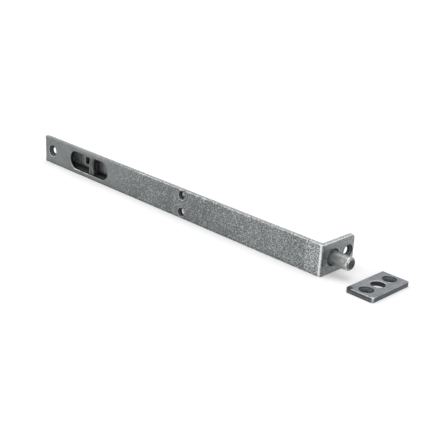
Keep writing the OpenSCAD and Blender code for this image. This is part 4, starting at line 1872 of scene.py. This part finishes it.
@dataclass
class Pan:
    """The pressed pan behind the slot, its weld beads, and the leaf spring with its rivet."""

    plate_back: float = -7.8
    sheet: float = 0.8
    inner_height: float = 6.15
    edge: float = 0.12
    leaf_edge: float = 0.06
    bead_seed: int = 5
    long_bead: float = 9.0
    end_bead: float = 6.0
    bead_share: float = 0.28
    brim_inset: float = 1.0
    rivet: Rivet = Rivet(2.0, 3.4, 0.4, 3.8, 0.6)
    # Painted shade behind the strip and along the pan's lower wall
    shade_edges: tuple[float, float, float, float] = (-219.5, -217.5, -200.0, -198.0)
    behind_shade: float = 0.85
    wall_shade: float = 0.8
    finger_wear: float = 0.62

    def __post_init__(self) -> None:
        """Finds where the pan's floor lies inside."""
        self.inner_floor = span("slot_pan", Axis.Y)[1] - self.sheet

    def build(self, shop: Shop, rivets: RivetRule, beads: BeadRule) -> None:
        """Builds the pan's pieces and gives them their finishes.

        Args:
            shop: What gives a piece its finish.
            rivets: The rule for rivets.
            beads: The rule for weld beads.
        """
        pan = eased_copy("slot_pan", "pressed_pan", self.edge, self.shade_edges)
        # Painted shade inside the pan
        mark_by_place(pan, PATINA_AND_SHADE, self._painted_shade)
        mark_by_place(pan, WEAR_AND_HIGHLIGHT, self._rub)
        shop.dress(pan, Finish.PAN, "plate", "pan_sheet", "slot_pan")
        leaf = eased_copy("leaf_spring", "leaf", self.leaf_edge)
        shop.dress(leaf, Finish.SPRING, "plate", "spring_steel", "leaf_spring")
        self._rivet(shop, rivets)
        self._welds(shop, beads)

    def _inside(self, spot: Vector) -> bool:
        """Says whether a spot lies on the pan's inner side."""
        return spot.y < self.inner_floor + 0.1 and abs(spot.z) < self.inner_height + 0.1

    def _painted_shade(self, spot: Vector) -> float:
        """Gives painted shade in the pan: along its lower wall and behind the strip, where no light reaches.

        Args:
            spot: The spot, in the row frame.

        Returns:
            The painted shade, from 0 to 1.
        """
        if not self._inside(spot):
            return 0.0
        behind = smooth_step(self.shade_edges[0], self.shade_edges[1], spot.x)
        behind *= smooth_fall(self.shade_edges[2], self.shade_edges[3], spot.x)
        return max(self.behind_shade * behind, self.wall_shade * smooth_step(-4.9, -5.9, spot.z))

    def _rub(self, spot: Vector) -> float:
        """Gives the wear in the pan, where the fingertip reaches past the strip."""
        reached = smooth_fall(self.shade_edges[0], self.shade_edges[1], spot.x)
        return self.finger_wear * reached if self._inside(spot) else 0.0

    def _rivet(self, shop: Shop, rivets: RivetRule) -> None:
        """Sets the rivet of the leaf spring.

        Args:
            shop: What gives a piece its finish.
            rivets: The rule for rivets.
        """
        low, high = span("leaf_rivet", Axis.X)
        piece = rivets.set("spring_rivet", "leaf_rivet", [((low + high) / 2, 0)], self.rivet,
                           shop.materials[Finish.RIVET])
        shop.dress(piece, Finish.RIVET, "plate", "rivet_steel", "leaf_rivet")

    def _welds(self, shop: Shop, beads: BeadRule) -> None:
        """Runs the beads along the pan's brim: two on each long side and one at each end.

        Args:
            shop: What gives a piece its finish.
            beads: The rule for weld beads.
        """
        left, right = span("pan_welds", Axis.X)
        left += beads.LEG
        right -= beads.LEG
        middle = (left + right) / 2
        reach = self.bead_share * (right - left)
        height = span("face_plate", Axis.Z)[1] - self.brim_inset
        long_half = (self.long_bead - beads.LEG) / 2
        end_half = (self.end_bead - beads.LEG) / 2
        back = self.plate_back
        ends: list[Point] = []
        for side in (-height, height):
            for centre in (middle - reach, middle + reach):
                ends += [(centre - long_half, back, side), (centre + long_half, back, side)]
        for x in (left, right):
            ends += [(x, back, -end_half), (x, back, end_half)]
        piece = beads.lay("pan_beads", ends, self.bead_seed, shop.materials[Finish.WELD])
        shop.dress(piece, Finish.WELD, "plate", "weld_metal", "pan_welds")


@dataclass
class Guide:
    """The bent strap that the bolt head runs in, with the beads of its feet."""

    plate_back: float = -7.8
    edge: float = 0.14
    bead_seed: int = 9

    def build(self, shop: Shop, beads: BeadRule) -> None:
        """Builds the guide and its beads and gives them their finishes.

        Args:
            shop: What gives a piece its finish.
            beads: The rule for weld beads.
        """
        strap = eased_copy("rod_guide", "strap_guide", self.edge)
        shop.dress(strap, Finish.PAN, "plate", "pan_sheet", "rod_guide")
        start, end = span("guide_welds", Axis.X)
        height = span("rod_guide", Axis.Z)[1]
        ends: list[Point] = []
        for side in (-height, height):
            ends += [(x, self.plate_back, side) for x in (start + beads.LEG / 2, end - beads.LEG / 2)]
        piece = beads.lay("guide_beads", ends, self.bead_seed, shop.materials[Finish.WELD])
        shop.dress(piece, Finish.WELD, "plate", "weld_metal", "guide_welds")


@dataclass
class Slide:
    """What the fingertip moves: the finger bar on its strip, riveted to the drive rod."""

    edge: float = 0.15
    bar_edge: float = 0.12
    lap: float = 14.0
    rivet: Rivet = Rivet(2.5, 4.2, 0.9, 3.6, 0.7)
    rivet_shares: tuple[float, float] = (0.25, 0.75)
    rod_ease: float = 0.35

    def build(self, shop: Shop, rivets: RivetRule) -> None:
        """Builds the slide's pieces and gives them their finishes.

        Args:
            shop: What gives a piece its finish.
            rivets: The rule for rivets.
        """
        strip = eased_copy("slide_strip", "strip", self.edge)
        # Painted shade on the strip's lower part
        mark_by_place(strip, PATINA_AND_SHADE, low_painted_shade)
        shop.dress(strip, Finish.SLIDE, "bolt", "slide_steel", "slide_strip")
        bar = eased_copy("finger_bar", "thumb_bar", self.bar_edge)
        shop.dress(bar, Finish.BAR, "bolt", "bar_steel", "finger_bar")
        self._rod(shop)
        self._rivets(shop, rivets)

    def _rod(self, shop: Shop) -> None:
        """Turns the drive rod and files the flat that the strip lies on.

        Args:
            shop: What gives a piece its finish.
        """
        left, right = span("drive_rod", Axis.X)
        radius = span("drive_rod", Axis.Z)[1]
        flat = span("slide_strip", Axis.Y)[1]
        flat_end = left + self.lap + 1
        ease = self.rod_ease
        corners = [(left, 0, 0), (left, radius, ease), (flat_end, radius, 0), (flat_end + 0.01, radius, 0),
                   (right, radius, ease), (right, 0, 0)]

        def place(along: float, up: float, out: float) -> Vector:
            """Sets a point of the rod, on its flat where it has one."""
            depth = max(out, flat) if along <= flat_end else out
            return Vector((along, depth, up))

        shell = Shell()
        turned(shell, filleted(corners), place)
        shop.dress(shell.to_object("rod"), Finish.ROD, "bolt", "rod_steel", "drive_rod")

    def _rivets(self, shop: Shop, rivets: RivetRule) -> None:
        """Sets the two rivets through strip and rod.

        Args:
            shop: What gives a piece its finish.
            rivets: The rule for rivets.
        """
        left = span("drive_rod", Axis.X)[0]
        places = [(left + self.lap * share, 0) for share in self.rivet_shares]
        piece = rivets.set("slide_rivets", "strip_rivets", places, self.rivet, shop.materials[Finish.RIVET])
        shop.dress(piece, Finish.RIVET, "bolt", "rivet_steel", "strip_rivets")


@dataclass
class Nose:
    """The turned head and nose of the bolt, and the cross pin that holds it to the rod."""

    nose_radius: float = 4.0
    chamfer: float = 1.0
    round: float = 0.42
    # Painted shade on the end face, at the root and on the chamfer's back side; sooty specks on the chamfer
    face_shade: float = 0.62
    root_shade: float = 0.5
    rim_shade: float = 0.9
    speck_soot: float = 0.75
    speck_size: float = 0.9
    pin_ease: float = 0.3

    def build(self, shop: Shop) -> None:
        """Turns the head and the pin and gives them their finishes.

        Args:
            shop: What gives a piece its finish.
        """
        rear, tip = span("bolt_head", Axis.X)
        head = span("bolt_head", Axis.Z)[1]
        bore = span("drive_rod", Axis.Z)[1]
        bottom = span("drive_rod", Axis.X)[1]
        corners = [(bottom, 0, 0), (bottom, bore, 0), (rear, bore, 0.1), (rear, head, 0.35), (0, head, 0.12),
                   (0, self.nose_radius, 0), *((x, self.nose_radius, 0) for x in range(1, 5)),
                   (tip - self.chamfer, self.nose_radius, self.round),
                   (tip, self.nose_radius - self.chamfer, self.round), (tip, 0, 0)]
        shell = Shell()
        turned(shell, filleted(corners), lambda along, up, out: Vector((along, out, up)))
        piece = shell.to_object("head_and_nose")

        def soot_and_shade(spot: Vector) -> float:
            """Gives painted shade on the end face, where the nose leaves the flange and on the chamfer's back
            side, with sooty specks on the chamfer.

            Args:
                spot: The spot, in the row frame.

            Returns:
                The painted shade and the specks, from 0 to 1.
            """
            face = smooth_step(tip - 0.35, tip - 0.05, spot.x)
            root = smooth_fall(0.3, 1.6, spot.x)
            back = smooth_step(-0.1, 0.5, (spot.y - 0.4 * spot.z) / self.nose_radius)
            specks = self.speck_soot * smooth_step(-0.1, 0.25, noise.noise(spot / self.speck_size))
            rim = smooth_step(tip - 1.5, tip - 0.9, spot.x) * max(back, specks)
            return max(self.face_shade * face, self.root_shade * root, self.rim_shade * rim)

        mark_by_place(piece, PATINA_AND_SHADE, soot_and_shade)
        shop.dress(piece, Finish.NOSE, "bolt", "bolt_steel", "bolt_head")
        self._pin(shop)

    def _pin(self, shop: Shop) -> None:
        """Turns the cross pin.

        Args:
            shop: What gives a piece its finish.
        """
        left, right = span("cross_pin", Axis.X)
        low, high = span("cross_pin", Axis.Z)
        radius = (right - left) / 2
        middle = (left + right) / 2
        corners = [(low, 0, 0), (low, radius, self.pin_ease), (high, radius, self.pin_ease), (high, 0, 0)]
        shell = Shell()
        turned(shell, filleted(corners), lambda along, across, out: Vector((middle + across, out, along)), 48)
        shop.dress(shell.to_object("pin"), Finish.ROD, "bolt", "rod_steel", "cross_pin")


# Studio


@dataclass(frozen=True)
class Softbox:
    """A square area lamp that points at a place on the bolt."""

    name: str
    place: Point
    size: float
    watts: float
    tint: Colour = (1.0, 1.0, 1.0)


@dataclass
class Studio:
    """The pale floor, the soft light and the photograph's camera."""

    floor_reach: float = 2500.0
    floor_colour: Colour = (0.8, 0.8, 0.8)
    floor_roughness: float = 0.9
    floor_glow: float = 0.26
    far_glow: float = 0.6
    glow_rise: tuple[float, float] = (0.3, 1.0)
    world_light: float = 0.42
    aim: Point = (-110.0, 0.0, 0.0)
    camera_place: Point = (271.41, -376.64, 196.75)
    camera_right: Point = (0.706746, 0.705320, 0.055071)
    camera_up: Point = (-0.291517, 0.219410, 0.931062)
    focal_pixels: float = 915.33
    frame_pixels: float = 436.0
    sensor: float = 36.0
    nearest: float = 10.0
    farthest: float = 20000.0
    boxes: tuple[Softbox, ...] = (
        Softbox("top_box", (-160.0, 120.0, 900.0), 900.0, 4.8),
        Softbox("left_box", (-900.0, -650.0, 420.0), 600.0, 4.6),
        Softbox("front_fill", (420.0, -900.0, 380.0), 800.0, 0.6),
        Softbox("right_box", (950.0, -150.0, 480.0), 500.0, 2.3),
    )

    def build(self) -> None:
        """Sets up the whole studio."""
        self._floor()
        self._world()
        for box in self.boxes:
            self._lamp(box)
        self._camera()
        bpy.context.scene.view_settings.view_transform = "Standard"

    def _floor(self) -> None:
        """Lays the floor under the bolt. It looks white to the camera and keeps the shadow."""
        level = CAD_BOX[0][2] / MM
        reach = self.floor_reach
        mesh = bpy.data.meshes.new("floor")
        corners = [(x * MM, y * MM, level * MM) for x, y in
                   ((-reach, -reach), (reach, -reach), (reach, reach), (-reach, reach))]
        mesh.from_pydata(corners, [], [(0, 1, 2, 3)])
        floor = bpy.data.objects.new("floor", mesh)
        bpy.context.scene.collection.objects.link(floor)
        material = bpy.data.materials.new("pale_floor")
        material.use_nodes = True
        graph = Graph(material.node_tree)
        surface = material.node_tree.nodes["Principled BSDF"]
        surface.inputs["Base Color"].default_value = opaque(self.floor_colour)
        surface.inputs["Roughness"].default_value = self.floor_roughness
        surface.inputs["Specular IOR Level"].default_value = 0.0
        surface.inputs["Emission Color"].default_value = (1, 1, 1, 1)
        spot = graph.add("ShaderNodeTexCoord").outputs["Object"]
        middle = tuple(Vector(self.aim) * MM)
        away = graph.add("ShaderNodeVectorMath", {0: spot, 1: middle}, operation="DISTANCE").outputs["Value"]
        far = graph.times(graph.ramp(away, *self.glow_rise), self.far_glow)
        glow = graph.times(self._seen(graph), graph.plus(far, self.floor_glow))
        graph.tree.links.new(glow, surface.inputs["Emission Strength"])
        mesh.materials.append(material)
        floor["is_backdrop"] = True

    @staticmethod
    def _seen(graph: Graph) -> bpy.types.NodeSocket:
        """Gives 1 on rays from the camera and on mirrored and refracted ones, and 0 on others.

        Args:
            graph: The graph of the material or the world.

        Returns:
            The output that holds it.
        """
        path = graph.add("ShaderNodeLightPath").outputs
        seen = graph.math("MAXIMUM", path["Is Camera Ray"], path["Is Glossy Ray"])
        return graph.math("MAXIMUM", seen, path["Is Transmission Ray"])

    def _world(self) -> None:
        """Makes the surroundings white to look at and softer as light."""
        world = bpy.data.worlds.new("studio")
        bpy.context.scene.world = world
        world.use_nodes = True
        graph = Graph(world.node_tree)
        strength = graph.add("ShaderNodeMapRange", {
            "Value": self._seen(graph), "To Min": self.world_light, "To Max": 1.0}).outputs["Result"]
        background = world.node_tree.nodes["Background"]
        background.inputs["Color"].default_value = (1, 1, 1, 1)
        graph.tree.links.new(strength, background.inputs["Strength"])

    def _lamp(self, box: Softbox) -> None:
        """Hangs one softbox and points it at the bolt.

        Args:
            box: The softbox.
        """
        data = bpy.data.lights.new(box.name, "AREA")
        data.shape = "SQUARE"
        data.size = box.size * MM
        data.energy = box.watts
        data.color = box.tint
        lamp = bpy.data.objects.new(box.name, data)
        bpy.context.scene.collection.objects.link(lamp)
        spot = Vector(box.place) * MM
        lamp.location = spot
        lamp.rotation_euler = (Vector(self.aim) * MM - spot).to_track_quat("-Z", "Y").to_euler()

    def _camera(self) -> None:
        """Sets the camera where the photograph was taken from."""
        data = bpy.data.cameras.new("camera")
        data.sensor_fit = "HORIZONTAL"
        data.sensor_width = self.sensor
        data.lens = self.focal_pixels / self.frame_pixels * self.sensor
        data.clip_start = self.nearest * MM
        data.clip_end = self.farthest * MM
        camera = bpy.data.objects.new("camera", data)
        bpy.context.scene.collection.objects.link(camera)
        right = Vector(self.camera_right)
        up = Vector(self.camera_up)
        turned_frame = Matrix((right, up, right.cross(up))).transposed().to_4x4()
        camera.matrix_world = Matrix.Translation(Vector(self.camera_place) * MM) @ turned_frame
        bpy.context.scene.camera = camera


def write_sizes() -> None:
    """Gathers the CAD model's box and the dressed model's box as plain lists, and keeps nothing."""
    boxes = {"cad": CAD_BOX, "visual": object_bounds()}
    plain = {key: [list(corner) for corner in box] for key, box in boxes.items()}


def main() -> None:
    """Builds the studio and every sub-assembly in order."""
    logging.basicConfig(level=logging.INFO, format="%(name)s: %(message)s")
    Studio().build()
    shop = Shop()
    rivets = RivetRule()
    beads = BeadRule()
    FacePlate().build(shop)
    Pan().build(shop, rivets, beads)
    Guide().build(shop, beads)
    Slide().build(shop, rivets)
    Nose().build(shop)
    KeepPlate().build(shop)
    write_sizes()


if __name__ == "__main__":
    main()
